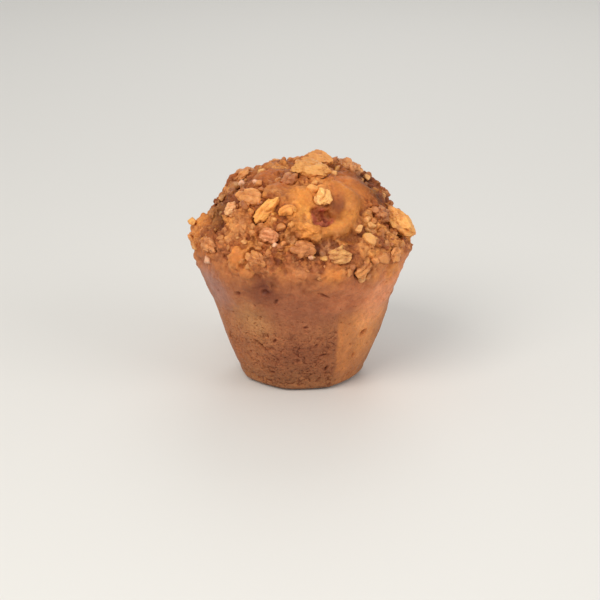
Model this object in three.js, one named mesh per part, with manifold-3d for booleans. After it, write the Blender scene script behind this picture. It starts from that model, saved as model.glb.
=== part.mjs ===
// Walnut crumble muffin, baked in a deep tapered mould, without its paper case.
// Millimetres, +Z up, the foot flat on Z = 0, the axis on Z, the front towards -Y.
//
// The crumb is one solid: a tapered, softly faceted base, a smooth collar of crust that
// swelled past the mould, an uneven rim, a shallow gutter behind it and a tall central
// dome whose front is folded round a pit like a curled lip. Every walnut piece as large
// as a berry is a solid of its own, pressed into a pocket in the crust.
import * as THREE from "three";
import { mergeVertices } from "three/addons/utils/BufferGeometryUtils.js";
import Module from "manifold-3d";

// ---- driving dimensions (mm) ----
const FOOT_R = 20.4; // radius of the flat it stands on
const EDGE_R = 24.6; // radius just above the rounded bottom edge
const EDGE_Z = 3.6;
const LINE_R = 33.9; // two thirds of the way up the base
const LINE_Z = 27.0;
const COLLAR_SAG = 0.6; // how hollow the collar is below its top
const NECK_R = 39.2; // top of the smooth collar
const NECK_Z = 45.0;
const RIM_R = 40.3; // widest ring of the crown
const RIM_Z = 53.5;
const SHELF_R = 34.8; // gutter between the rim and the dome
const SHELF_Z = 62.5;
const TOP_Z = 81.0; // crown of the crumb, without nuts

const COLUMNS = 56;
const CROWD = 0.42; // how much closer the columns stand in front, where the dome is folded
const CROWD_AT = 18; // degrees
const GAP = 0.5; // air kept between a nut and its pocket
const TOLERANCE = 0.12; // how far merged facets may stray from the true surface

const FACETS = 7; // soft flats that the paper case left on the base
const FACET_PHASE = 27.5; // azimuth of one of their corners, degrees right of the front
const FACET_DEPTH = 0.34;
const LINE_STEP = 0.5; // how far the collar stands proud of the base
const STEP_Z = 33.2; // height of that step, where the paper ended

// ---- small helpers ----
const RAD = Math.PI / 180;
const smooth = (a, b, x) => {
  const t = Math.min(1, Math.max(0, (x - a) / (b - a)));
  return t * t * (3 - 2 * t);
};
const hash = (n) => {
  const s = Math.sin(n * 12.9898 + 4.1414) * 43758.5453;
  return s - Math.floor(s);
};

// ---- the section, from the middle of the foot to the crown ----
function section() {
  const p = [];
  for (let i = 0; i < 20; i++) p.push([(FOOT_R * i) / 19, 0]);
  for (let i = 1; i < 24; i++) {
    const a = ((i / 23) * Math.PI) / 2;
    p.push([
      FOOT_R + (EDGE_R - FOOT_R) * Math.sin(a),
      EDGE_Z * (1 - Math.cos(a)),
    ]);
  }
  for (let i = 1; i < 60; i++) {
    const t = i / 59;
    p.push([
      EDGE_R + (LINE_R - EDGE_R) * (t + 0.07 * Math.sin(Math.PI * t)),
      EDGE_Z + (LINE_Z - EDGE_Z) * t,
    ]);
  }
  for (let i = 1; i < 40; i++) {
    const t = i / 39;
    p.push([
      LINE_R + (NECK_R - LINE_R) * t - COLLAR_SAG * Math.sin(Math.PI * t),
      LINE_Z + (NECK_Z - LINE_Z) * t,
    ]);
  }
  for (let i = 1; i < 40; i++) {
    const t = i / 39,
      a = (t * Math.PI) / 2;
    p.push([
      NECK_R + (RIM_R - NECK_R) * Math.sin(a),
      NECK_Z + (RIM_Z - NECK_Z) * (t * 0.4 + 0.6 * (1 - Math.cos(a))),
    ]);
  }
  for (let i = 1; i < 40; i++) {
    const a = ((i / 39) * Math.PI) / 2;
    p.push([
      SHELF_R + (RIM_R - SHELF_R) * Math.pow(Math.max(0, Math.cos(a)), 0.9),
      RIM_Z + (SHELF_Z - RIM_Z) * Math.sin(a),
    ]);
  }
  for (let i = 1; i < 120; i++) {
    const k = Math.sin(((i / 119) * Math.PI) / 2);
    const r =
      i === 119
        ? 0
        : SHELF_R * Math.pow(Math.max(0, 1 - Math.pow(k, 1.6)), 0.3);
    p.push([r, SHELF_Z + (TOP_Z - SHELF_Z) * k]);
  }
  return p;
}
const SECTION = section();
const ARC = [0];
for (let i = 1; i < SECTION.length; i++)
  ARC.push(
    ARC[i - 1] +
      Math.hypot(
        SECTION[i][0] - SECTION[i - 1][0],
        SECTION[i][1] - SECTION[i - 1][1],
      ),
  );
const LENGTH = ARC[ARC.length - 1];
function onSection(t) {
  const s = Math.min(1, Math.max(0, t)) * LENGTH;
  let i = 1;
  while (i < ARC.length - 1 && ARC[i] < s) i++;
  const f = (s - ARC[i - 1]) / (ARC[i] - ARC[i - 1]);
  return [
    SECTION[i - 1][0] + f * (SECTION[i][0] - SECTION[i - 1][0]),
    SECTION[i - 1][1] + f * (SECTION[i][1] - SECTION[i - 1][1]),
  ];
}
// radius, height and outward normal of the section at t, 0 at the foot's middle and 1 at the crown
function station(t) {
  const h = 0.012;
  const [r, z] = onSection(t);
  const [ra, za] = onSection(t - h);
  const [rb, zb] = onSection(t + h);
  let nr = zb - za,
    nz = -(rb - ra);
  const l = Math.hypot(nr, nz) || 1;
  nr /= l;
  nz /= l;
  if (t >= 1) {
    nr = 0;
    nz = 1;
  }
  return [r, z, nr, nz];
}
// the plain surface, before its swellings
function plain(t, azimuth) {
  const [r, z, nr, nz] = station(t);
  const s = Math.sin(azimuth * RAD),
    c = -Math.cos(azimuth * RAD);
  return {
    p: new THREE.Vector3(r * s, r * c, z),
    n: new THREE.Vector3(nr * s, nr * c, nz),
  };
}

// ---- the crumb's swellings ----
// azimuth (degrees right of the front), place on the section, height, spread
const SWELLS = [
  [0, 0.742, 1.2, 4.6],
  [-66, 0.9, 0.5, 6.5],
  [-46, 0.905, 1.0, 5.0],
  [1, 0.826, 1.5, 4.0],
  [-84, 0.77, -2.7, 8],
  [-92, 0.88, -1.9, 8],
  [-20.5, 0.83, 1.4, 5.5],
  [-37, 0.612, 1.7, 4.8],
  [-89, 0.626, 3.5, 4.6],
  [-72, 0.6, 0.9, 5.0],
  [79, 0.6, 1.4, 6.0],
  [15, 0.642, -1.5, 4.4],
  [44, 0.645, 1.6, 4.8],
  [66, 0.86, 0.8, 6.5],
  [150, 0.8, 1.3, 6.5],
  [-150, 0.78, 1.5, 6.0],
  [-112, 0.82, -2.4, 9],
  [105, 0.73, 1.2, 5.5],
  [175, 0.7, 1.3, 5.5],
  [96, 0.56, 0.7, 6.0],
  [135, 0.58, 1.0, 6.0],
  [-135, 0.57, 1.1, 5.5],
  [-165, 0.6, 0.8, 5.0],
  [12, 0.545, 0.8, 6.0],
];
const PIT = [15.0, 0.752, 5.1, 4.6, 5.4]; // the dark pit in the dome's front: half-width, half-height, depth
const BASIN = [27, 0.786, 2.5, 6.6]; // the hollow that it lies in
const LIP_HEIGHT = 2.5; // the curled lip round the hollow
const LIP_SPREAD = 2.5;
// the lip's line: azimuth, place on the section, share of its height
const LIP = [
  [-8, 0.748, 0.3],
  [-1, 0.726, 0.75],
  [7, 0.71, 1],
  [15, 0.703, 1.05],
  [23, 0.709, 1.1],
  [30, 0.722, 1.2],
  [37, 0.745, 1.2],
  [42, 0.773, 1.1],
  [44, 0.805, 0.9],
  [42, 0.84, 0.5],
  [34, 0.87, 0.2],
];
const WAVES = 14;
const waves = [];
for (let i = 0; i < WAVES; i++) {
  const u = 2 * hash(i * 3 + 1) - 1,
    a = 2 * Math.PI * hash(i * 3 + 2),
    q = Math.sqrt(1 - u * u);
  const k = (2 * Math.PI) / (9 + 16 * hash(i * 3 + 3));
  waves.push([
    k * q * Math.cos(a),
    k * q * Math.sin(a),
    k * u,
    2 * Math.PI * hash(i + 77),
  ]);
}
const placed = (azimuth, t) => plain(t, azimuth).p;
const swells = SWELLS.map(([a, t, h, w]) => [placed(a, t), h, w]);
const basin = placed(BASIN[0], BASIN[1]);

const lip = LIP.map(([a, t, h]) => [placed(a, t), h]);
// 1 on the lip's line, falling off to its sides
function lipAt(p) {
  let best = 0;
  for (let i = 1; i < lip.length; i++) {
    const [a, ha] = lip[i - 1],
      [b, hb] = lip[i];
    const ab = b.clone().sub(a);
    const f = Math.min(1, Math.max(0, p.clone().sub(a).dot(ab) / ab.lengthSq()));
    const q = a.clone().addScaledVector(ab, f).distanceTo(p);
    best = Math.max(
      best,
      (ha + (hb - ha) * f) * Math.exp(-(q * q) / (LIP_SPREAD * LIP_SPREAD)),
    );
  }
  return best;
}

function swelling(p) {
  const top = smooth(38, 52, p.z);
  let d = 0;
  for (const [c, h, w] of swells)
    d += h * Math.exp(-p.distanceToSquared(c) / (w * w));
  let roll = 0;
  for (const [x, y, z, f] of waves)
    roll += Math.sin(x * p.x + y * p.y + z * p.z + f);
  d += (roll / Math.sqrt(WAVES)) * (0.16 + 0.5 * top);
  const q = p.distanceTo(basin);
  d -= BASIN[2] * Math.exp(-(q * q) / (BASIN[3] * BASIN[3]));
  d += LIP_HEIGHT * lipAt(p);
  return d;
}
// how far the base is drawn in by the flats that its case left
function flats(azimuth, z) {
  const step = 360 / FACETS;
  const bend = 7 * Math.sin((azimuth + 40) * RAD) + 4 * Math.sin(2 * azimuth * RAD);
  const a = azimuth - FACET_PHASE + bend - 7 * Math.sin((FACET_PHASE + 40) * RAD) - 4 * Math.sin(2 * FACET_PHASE * RAD);
  const m = (((a % step) + step) % step) - step / 2; // -step/2 .. step/2, 0 mid-flat
  const full = 1 - Math.cos((step / 2) * RAD) / Math.cos(m * RAD);
  return full * FACET_DEPTH * (1 - smooth(25, 38, z));
}
const lineHeight = (azimuth) =>
  STEP_Z +
  0.9 * Math.sin((azimuth + 75) * RAD) +
  0.7 * Math.sin((3 * azimuth + 50) * RAD);
const rimWave = (azimuth) =>
  0.5 * Math.sin((2 * azimuth + 20) * RAD) +
  0.45 * Math.sin((3 * azimuth - 65) * RAD) +
  0.35 * Math.sin((5 * azimuth + 130) * RAD) +
  0.25 * Math.sin((8 * azimuth + 10) * RAD);

function surface(t, azimuth) {
  const { p, n } = plain(t, azimuth);
  const foot = smooth(0, 6, p.z);
  const out = new THREE.Vector3(
    Math.sin(azimuth * RAD),
    -Math.cos(azimuth * RAD),
    0,
  );
  const r = Math.hypot(p.x, p.y);
  const d = swelling(p) * foot;
  const radial =
    -r * flats(azimuth, p.z) +
    rimWave(azimuth) * smooth(24, 50, p.z) * (1 - smooth(60, 70, p.z)) -
    LINE_STEP *
      (1 - smooth(-1.6, 1.6, p.z - lineHeight(azimuth))) *
      smooth(6, 20, p.z);
  p.addScaledVector(n, d).addScaledVector(out, radial);
  if (t <= FOOT_R / LENGTH + 1e-9) p.z = 0;
  return { p, n };
}

const columnAt = (j) => {
  const u = (360 * j) / COLUMNS;
  return CROWD_AT + u - (CROWD / RAD) * Math.sin(u * RAD);
};
// a closed skin over rows of the section
function crumbGeometry() {
  const foot = FOOT_R / LENGTH;
  const rows = [foot, foot + 0.018, foot + 0.04];
  const span = (a, b, n) => {
    for (let i = 1; i <= n; i++) rows.push(a + ((b - a) * i) / n);
  };
  span(foot + 0.04, 0.418, 3); // the straight base
  span(0.418, 0.446, 1); // the step that the paper left
  span(0.446, 0.5, 3); // the collar
  span(0.5, 0.86, 15); // the rim, the gutter and the dome's side
  span(0.86, 0.97, 3);
  const v = [0, 0, 0];
  for (const t of rows)
    for (let j = 0; j < COLUMNS; j++) {
      const { p } = surface(t, columnAt(j));
      v.push(p.x, p.y, p.z);
    }
  const crown = surface(1, 0).p;
  v.push(0, 0, crown.z);
  const f = [];
  const at = (i, j) => 1 + i * COLUMNS + (((j % COLUMNS) + COLUMNS) % COLUMNS);
  for (let j = 0; j < COLUMNS; j++) f.push(0, at(0, j + 1), at(0, j));
  for (let i = 0; i < rows.length - 1; i++)
    for (let j = 0; j < COLUMNS; j++) {
      f.push(at(i, j), at(i, j + 1), at(i + 1, j + 1));
      f.push(at(i, j), at(i + 1, j + 1), at(i + 1, j));
    }
  const last = v.length / 3 - 1;
  for (let j = 0; j < COLUMNS; j++)
    f.push(at(rows.length - 1, j), at(rows.length - 1, j + 1), last);
  const g = new THREE.BufferGeometry();
  g.setAttribute("position", new THREE.Float32BufferAttribute(v, 3));
  g.setIndex(f);
  return g;
}

// ---- walnut pieces ----
// azimuth, place on the section, length, width, thickness, spin (0 lies level) and the
// share of its thickness that is sunk in the crust
const NUTS = [
  ["walnut_crest_a", 128, 0.944, 13.4, 9.6, 8.4, 14, 0.32],
  ["walnut_crest_b", 126, 0.858, 9.8, 7.4, 6.0, -20, 0.5],
  ["walnut_crest_c", 97, 0.857, 9.2, 7.2, 6.0, 30, 0.42],
  ["walnut_crown", 18.5, 0.927, 17.6, 11.8, 8.6, -30, 0.22],
  ["walnut_chunk", 18.5, 0.816, 8.8, 7.4, 6.4, 60, 0.36],
  ["walnut_lobed", -15, 0.892, 8.0, 6.6, 5.8, 70, 0.4],
  ["walnut_tan", -41.5, 0.786, 12.8, 7.4, 6.2, 8, 0.44],
  ["walnut_pale", -53, 0.742, 9.0, 6.4, 5.4, 10, 0.44],
  ["walnut_yellow", -25, 0.762, 13.2, 8.4, 6.8, 66, 0.36],
  ["walnut_gold", -9, 0.764, 7.4, 5.8, 5.0, 20, 0.42],
  ["walnut_right", 74, 0.656, 15.2, 12.0, 9.6, 94, 0.31],
  ["walnut_brown", 60.5, 0.716, 10.4, 7.8, 6.4, -15, 0.42],
  ["walnut_rim_a", -59, 0.62, 10.4, 6.0, 5.2, -8, 0.44],
  ["walnut_rim_b", -92, 0.578, 9.4, 7.2, 5.2, 60, 0.54],
  ["walnut_rim_e", -24, 0.615, 9.8, 6.6, 5.4, -12, 0.46],
  ["walnut_pink", -20, 0.694, 8.8, 6.4, 5.4, -8, 0.42],
  ["walnut_gutter", 2, 0.655, 11.6, 7.4, 6.0, 8, 0.42],
  ["walnut_front", 21.5, 0.624, 9.8, 6.0, 4.8, -10, 0.42],
  ["walnut_rim_c", 34, 0.587, 9.4, 7.2, 5.4, 35, 0.44],
  ["walnut_rim_d", 54, 0.602, 8.8, 6.4, 5.4, 10, 0.44],
];
// the far side, which no photograph shows: the same kinds of piece, spread evenly
const FAR = 9;
for (let i = 0; i < FAR; i++) {
  const ring = i % 3;
  const azimuth = 108 + (i * 144) / FAR + 9 * (hash(i + 201) - 0.5);
  const t = [0.6, 0.7, 0.8][ring] + 0.03 * (hash(i + 231) - 0.5);
  const l = 8.6 + 4.2 * hash(i + 251);
  NUTS.push([
    "walnut_far_" + (i + 1),
    azimuth,
    t,
    l,
    l * (0.66 + 0.14 * hash(i + 271)),
    l * (0.5 + 0.1 * hash(i + 291)),
    180 * hash(i + 311),
    0.48,
  ]);
}

const LOBES = 7;
const BIG = 11; // pieces this long are drawn finer
// a broken, lobed piece of kernel of the given size; grow widens it for its pocket
function walnutGeometry(length, width, thick, seed, grow) {
  const detail = length >= BIG ? 2 : 1;
  const raw = new THREE.IcosahedronGeometry(1, detail);
  raw.deleteAttribute("normal");
  raw.deleteAttribute("uv");
  const g = mergeVertices(raw, 1e-4);
  const lobes = [],
    breaks = [];
  for (let k = 0; k < LOBES; k++) {
    const u = 2 * hash(seed * 31 + k * 5 + 1) - 1,
      a = 2 * Math.PI * hash(seed * 31 + k * 5 + 2),
      q = Math.sqrt(1 - u * u);
    lobes.push([
      new THREE.Vector3(q * Math.cos(a), q * Math.sin(a), u),
      0.18 + 0.26 * hash(seed * 31 + k * 5 + 3),
    ]);
  }
  for (let k = 0; k < 2; k++) {
    const a = 2 * Math.PI * hash(seed * 17 + k * 7 + 5),
      u = 0.5 * (2 * hash(seed * 17 + k * 7 + 6) - 1),
      q = Math.sqrt(1 - u * u);
    breaks.push([
      new THREE.Vector3(q * Math.cos(a), q * Math.sin(a), u),
      0.7 + 0.14 * hash(seed * 17 + k * 7 + 8),
    ]);
  }
  const at = g.getAttribute("position"),
    d = new THREE.Vector3(),
    reach = [0, 0, 0];
  for (let i = 0; i < at.count; i++) {
    d.fromBufferAttribute(at, i).normalize();
    let r = 0.76;
    for (const [c, h] of lobes) r += h * Math.exp(-d.distanceToSquared(c) / 0.16);
    // the groove along the outer side
    r -= 0.24 * Math.exp(-Math.pow((d.y - 0.1) / 0.22, 2)) * smooth(0.1, 0.7, d.z);
    for (const [m, h] of breaks) {
      const q = d.dot(m);
      if (q > 0.05) r = Math.min(r, h / q);
    }
    at.setXYZ(i, d.x * r, d.y * r, d.z * r);
    reach[0] = Math.max(reach[0], Math.abs(d.x * r));
    reach[1] = Math.max(reach[1], Math.abs(d.y * r));
    reach[2] = Math.max(reach[2], Math.abs(d.z * r));
  }
  g.scale(
    (length / 2 + grow) / reach[0],
    (width / 2 + grow) / reach[1],
    (thick / 2 + grow) / reach[2],
  );
  return g;
}
function nutFrame(azimuth, t, thick, spin, sunk) {
  const { p } = surface(t, azimuth);
  // the true slope of the swollen crust round the nut
  const a = surface(t, azimuth - 4).p,
    b = surface(t, azimuth + 4).p,
    c = surface(t - 0.02, azimuth).p,
    e = surface(Math.min(1, t + 0.02), azimuth).p;
  const along = b.clone().sub(a).normalize();
  let up = e.clone().sub(c).normalize();
  const n = along.clone().cross(up).normalize();
  up = n.clone().cross(along).normalize();
  const x = along
    .clone()
    .multiplyScalar(Math.cos(spin * RAD))
    .addScaledVector(up, Math.sin(spin * RAD));
  const y = n.clone().cross(x);
  const m = new THREE.Matrix4().makeBasis(x, y, n);
  m.setPosition(p.clone().addScaledVector(n, thick * (0.5 - sunk)));
  return m;
}

const wasm = await Module();
wasm.setup();
function solid(geometry, matrix) {
  const g = geometry.clone();
  if (matrix) g.applyMatrix4(matrix);
  return new wasm.Manifold(
    new wasm.Mesh({
      numProp: 3,
      vertProperties: new Float32Array(g.getAttribute("position").array),
      triVerts: new Uint32Array(g.getIndex().array),
    }),
  );
}
function geometryOf(manifold) {
  const m = manifold.getMesh(),
    n = m.numProp,
    v = new Float32Array(m.numVert * 3);
  for (let i = 0; i < m.numVert; i++)
    v.set(m.vertProperties.subarray(i * n, i * n + 3), i * 3);
  const g = new THREE.BufferGeometry();
  g.setAttribute("position", new THREE.BufferAttribute(v, 3));
  g.setIndex(new THREE.BufferAttribute(new Uint32Array(m.triVerts), 1));
  g.computeVertexNormals();
  return g;
}

const crust = new THREE.MeshStandardMaterial({
  color: 0xb9773f,
  roughness: 0.62,
  metalness: 0,
});
const kernel = new THREE.MeshStandardMaterial({
  color: 0xdd9d56,
  roughness: 0.5,
  metalness: 0,
});

const muffin = new THREE.Group();
muffin.name = "muffin";

let crumb = solid(crumbGeometry());
{
  const raw = new THREE.IcosahedronGeometry(1, 2);
  raw.deleteAttribute("normal");
  raw.deleteAttribute("uv");
  const bowl = mergeVertices(raw, 1e-4);
  bowl.scale(PIT[2], PIT[3], PIT[4]);
  const frame = nutFrame(PIT[0], PIT[1], 0, 0, 0);
  crumb = crumb.subtract(solid(bowl, frame));
}
NUTS.forEach(([name, azimuth, t, length, width, thick, spin, sunk], i) => {
  const frame = nutFrame(azimuth, t, thick, spin, sunk);
  crumb = crumb.subtract(
    solid(walnutGeometry(length, width, thick, i + 1, GAP), frame),
  );
  const nut = new THREE.Mesh(
    walnutGeometry(length, width, thick, i + 1, 0),
    kernel,
  );
  nut.geometry.computeVertexNormals();
  nut.name = name;
  frame.decompose(nut.position, nut.quaternion, nut.scale);
  muffin.add(nut);
});
// a sliver between two pockets that came loose is not part of the crumb
const pieces = crumb.decompose().sort((a, b) => b.volume() - a.volume());
const body = new THREE.Mesh(geometryOf(pieces[0].simplify(TOLERANCE)), crust);
body.name = "crumb";
muffin.add(body);

export default muffin;
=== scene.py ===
# Walnut crumble muffin: the looks.
# Lengths are millimetres while shapes are worked out, and metres once they are meshes.
import math

import bmesh
import bpy
import numpy as np
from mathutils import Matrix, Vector, kdtree


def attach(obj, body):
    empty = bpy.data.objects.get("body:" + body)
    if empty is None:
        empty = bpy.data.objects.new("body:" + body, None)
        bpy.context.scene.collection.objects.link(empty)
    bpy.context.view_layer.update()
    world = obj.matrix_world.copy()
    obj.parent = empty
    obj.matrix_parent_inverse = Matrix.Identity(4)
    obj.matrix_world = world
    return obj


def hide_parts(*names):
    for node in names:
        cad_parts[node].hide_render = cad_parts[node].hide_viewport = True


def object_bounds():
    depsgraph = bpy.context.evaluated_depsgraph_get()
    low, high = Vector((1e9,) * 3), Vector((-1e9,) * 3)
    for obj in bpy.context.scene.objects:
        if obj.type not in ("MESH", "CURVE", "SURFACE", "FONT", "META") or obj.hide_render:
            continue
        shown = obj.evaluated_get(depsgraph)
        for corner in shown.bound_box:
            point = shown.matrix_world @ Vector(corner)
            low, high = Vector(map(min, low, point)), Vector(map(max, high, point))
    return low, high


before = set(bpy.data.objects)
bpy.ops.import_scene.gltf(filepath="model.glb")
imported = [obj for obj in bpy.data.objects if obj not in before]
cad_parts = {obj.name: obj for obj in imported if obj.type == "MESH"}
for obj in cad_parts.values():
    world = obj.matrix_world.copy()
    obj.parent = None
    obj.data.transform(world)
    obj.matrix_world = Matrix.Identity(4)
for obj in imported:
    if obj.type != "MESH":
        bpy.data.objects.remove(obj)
cad_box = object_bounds()
MM = 0.001
RAD = math.pi / 180

# ---------------------------------------------------------------- the crumb's named sizes
FOOT_R = 20.4
EDGE_R = 24.6
EDGE_Z = 3.6
LINE_R = 33.9
LINE_Z = 27.0
COLLAR_SAG = 0.6
NECK_R = 39.2
NECK_Z = 45.0
RIM_R = 40.3
RIM_Z = 53.5
SHELF_R = 34.8
SHELF_Z = 62.5
TOP_Z = 81.0
FACETS = 7
FACET_PHASE = 27.5
FACET_DEPTH = 0.34
LINE_STEP = 0.5
STEP_Z = 33.2

SWELLS = [
    (0, 0.742, 1.2, 4.6),
    (-66, 0.9, 0.5, 6.5),
    (-46, 0.905, 1.0, 5.0),
    (1, 0.826, 1.5, 4.0),
    (-84, 0.77, -2.7, 8),
    (-92, 0.88, -1.9, 8),
    (-20.5, 0.83, 1.4, 5.5),
    (-37, 0.612, 1.7, 4.8),
    (-89, 0.626, 3.5, 4.6),
    (-72, 0.6, 0.9, 5.0),
    (79, 0.6, 1.4, 6.0),
    (15, 0.642, -1.5, 4.4),
    (44, 0.645, 1.6, 4.8),
    (66, 0.86, 0.8, 6.5),
    (150, 0.8, 1.3, 6.5),
    (-150, 0.78, 1.5, 6.0),
    (-112, 0.82, -2.4, 9),
    (105, 0.73, 1.2, 5.5),
    (175, 0.7, 1.3, 5.5),
    (96, 0.56, 0.7, 6.0),
    (135, 0.58, 1.0, 6.0),
    (-135, 0.57, 1.1, 5.5),
    (-165, 0.6, 0.8, 5.0),
    (12, 0.545, 0.8, 6.0),
]
PIT = (15.0, 0.752, 5.1, 4.6, 5.4)
BASIN = (27, 0.786, 2.5, 6.6)
LIP_HEIGHT = 2.5
LIP_SPREAD = 2.5
LIP = [
    (-8, 0.748, 0.3),
    (-1, 0.726, 0.75),
    (7, 0.71, 1),
    (15, 0.703, 1.05),
    (23, 0.709, 1.1),
    (30, 0.722, 1.2),
    (37, 0.745, 1.2),
    (42, 0.773, 1.1),
    (44, 0.805, 0.9),
    (42, 0.84, 0.5),
    (34, 0.87, 0.2),
]
WAVES = 14

VOXEL = 0.40  # mm, the crumb's skin
SKIN_TRIS = 194_000


# ---------------------------------------------------------------- small helpers
def smooth(a, b, x):
    t = np.clip((x - a) / (b - a), 0, 1)
    return t * t * (3 - 2 * t)


def hash1(n):
    s = np.sin(np.asarray(n, float) * 12.9898 + 4.1414) * 43758.5453
    return s - np.floor(s)


_PERM = np.random.default_rng(7).permutation(512)
_GRAD = np.random.default_rng(8).normal(size=(512, 3))
_GRAD /= np.linalg.norm(_GRAD, axis=1)[:, None]


def noise(p, size, seed=0):
    """Gradient noise of points p (n, 3), about -0.6..0.6, with lumps about size across."""
    q = p / size + np.array([17.3, 5.1, 9.7]) * (seed + 1)
    i = np.floor(q).astype(np.int64)
    f = q - i
    u = f * f * f * (f * (f * 6 - 15) + 10)
    out = np.zeros(len(p))
    for dx in (0, 1):
        wx = u[:, 0] if dx else 1 - u[:, 0]
        hx = _PERM[(i[:, 0] + dx) & 511]
        for dy in (0, 1):
            wy = u[:, 1] if dy else 1 - u[:, 1]
            hy = _PERM[(hx + i[:, 1] + dy) & 511]
            for dz in (0, 1):
                wz = u[:, 2] if dz else 1 - u[:, 2]
                h = _PERM[(hy + i[:, 2] + dz + seed * 37) & 511]
                g = _GRAD[h]
                d = (
                    g[:, 0] * (f[:, 0] - dx)
                    + g[:, 1] * (f[:, 1] - dy)
                    + g[:, 2] * (f[:, 2] - dz)
                )
                out += wx * wy * wz * d
    return out


def noise3(p, size, seed):
    return np.stack([noise(p, size, seed + k) for k in range(3)], -1)


def fbm(p, size, octaves=3, seed=0, gain=0.5):
    out, a, total = np.zeros(len(p)), 1.0, 0.0
    for k in range(octaves):
        out += a * noise(p, size / 2**k, seed + k * 3)
        total += a
        a *= gain
    return out / total * 1.6


def ridged(p, size, seed=0):
    """1 along thin winding ridges, falling to 0 between them."""
    return 1 - np.clip(np.abs(noise(p, size, seed)) / 0.32, 0, 1)


def linear(rgb):
    c = np.asarray(rgb, float) / 255
    return np.where(c <= 0.04045, c / 12.92, ((c + 0.055) / 1.055) ** 2.4)


# ---------------------------------------------------------------- the section
def section():
    p = [(FOOT_R * i / 19, 0.0) for i in range(20)]
    for i in range(1, 24):
        a = i / 23 * math.pi / 2
        p.append(
            (FOOT_R + (EDGE_R - FOOT_R) * math.sin(a), EDGE_Z * (1 - math.cos(a)))
        )
    for i in range(1, 60):
        t = i / 59
        p.append(
            (
                EDGE_R + (LINE_R - EDGE_R) * (t + 0.07 * math.sin(math.pi * t)),
                EDGE_Z + (LINE_Z - EDGE_Z) * t,
            )
        )
    for i in range(1, 40):
        t = i / 39
        p.append(
            (
                LINE_R + (NECK_R - LINE_R) * t - COLLAR_SAG * math.sin(math.pi * t),
                LINE_Z + (NECK_Z - LINE_Z) * t,
            )
        )
    for i in range(1, 40):
        t = i / 39
        a = t * math.pi / 2
        p.append(
            (
                NECK_R + (RIM_R - NECK_R) * math.sin(a),
                NECK_Z + (RIM_Z - NECK_Z) * (t * 0.4 + 0.6 * (1 - math.cos(a))),
            )
        )
    for i in range(1, 40):
        a = i / 39 * math.pi / 2
        p.append(
            (
                SHELF_R + (RIM_R - SHELF_R) * max(0, math.cos(a)) ** 0.9,
                RIM_Z + (SHELF_Z - RIM_Z) * math.sin(a),
            )
        )
    for i in range(1, 120):
        k = math.sin(i / 119 * math.pi / 2)
        r = 0 if i == 119 else SHELF_R * max(0, 1 - k**1.6) ** 0.3
        p.append((r, SHELF_Z + (TOP_Z - SHELF_Z) * k))
    return np.array(p)


SECTION = section()
ARC = np.r_[0, np.cumsum(np.hypot(*np.diff(SECTION, axis=0).T))]
LENGTH = ARC[-1]
FOOT_T = FOOT_R / LENGTH


def on_section(t):
    s = np.clip(t, 0, 1) * LENGTH
    return np.interp(s, ARC, SECTION[:, 0]), np.interp(s, ARC, SECTION[:, 1])


def plain(t, azimuth):
    t, azimuth = np.broadcast_arrays(np.asarray(t, float), np.asarray(azimuth, float))
    h = 0.012
    r, z = on_section(t)
    ra, za = on_section(t - h)
    rb, zb = on_section(t + h)
    nr, nz = zb - za, -(rb - ra)
    length = np.hypot(nr, nz)
    length[length == 0] = 1
    nr, nz = nr / length, nz / length
    nr = np.where(t >= 1, 0, nr)
    nz = np.where(t >= 1, 1, nz)
    s, c = np.sin(azimuth * RAD), -np.cos(azimuth * RAD)
    return np.stack([r * s, r * c, z], -1), np.stack([nr * s, nr * c, nz], -1)


def placed(azimuth, t):
    return plain(np.array([t]), np.array([azimuth]))[0][0]


# ---------------------------------------------------------------- the crumb's swellings
waves = []
for i in range(WAVES):
    u = 2 * float(hash1(i * 3 + 1)) - 1
    a = 2 * math.pi * float(hash1(i * 3 + 2))
    q = math.sqrt(1 - u * u)
    k = (2 * math.pi) / (9 + 16 * float(hash1(i * 3 + 3)))
    waves.append(
        (
            k * q * math.cos(a),
            k * q * math.sin(a),
            k * u,
            2 * math.pi * float(hash1(i + 77)),
        )
    )
swell_at = [(placed(a, t), h, w) for a, t, h, w in SWELLS]
pit_at = placed(PIT[0], PIT[1])
basin_at = placed(BASIN[0], BASIN[1])
lip_at = [(placed(a, t), h) for a, t, h in LIP]


def gauss(p, c, w):
    return np.exp(-((p - c) ** 2).sum(-1) / (w * w))


def along_line(p, line, spread):
    """1 on a line of (point, height), falling off to its sides."""
    best = np.zeros(len(p))
    for (a, ha), (b, hb) in zip(line, line[1:]):
        ab = b - a
        f = np.clip((p - a) @ ab / (ab @ ab), 0, 1)
        q = ((p - a - f[:, None] * ab) ** 2).sum(-1)
        best = np.maximum(best, (ha + (hb - ha) * f) * np.exp(-q / (spread * spread)))
    return best


def swelling(p):
    top = smooth(38, 52, p[:, 2])
    d = np.zeros(len(p))
    for c, h, w in swell_at:
        d += h * gauss(p, c, w)
    roll = np.zeros(len(p))
    for x, y, z, f in waves:
        roll += np.sin(x * p[:, 0] + y * p[:, 1] + z * p[:, 2] + f)
    d += roll / math.sqrt(WAVES) * (0.16 + 0.5 * top)
    d -= BASIN[2] * gauss(p, basin_at, BASIN[3])
    d += LIP_HEIGHT * along_line(p, lip_at, LIP_SPREAD)
    return d


def flats(azimuth, z):
    step = 360 / FACETS
    bend = 7 * np.sin((azimuth + 40) * RAD) + 4 * np.sin(2 * azimuth * RAD)
    a = (
        azimuth
        - FACET_PHASE
        + bend
        - 7 * math.sin((FACET_PHASE + 40) * RAD)
        - 4 * math.sin(2 * FACET_PHASE * RAD)
    )
    m = np.mod(a, step) - step / 2
    full = 1 - math.cos(step / 2 * RAD) / np.cos(m * RAD)
    return full * FACET_DEPTH * (1 - smooth(25, 38, z))


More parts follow.
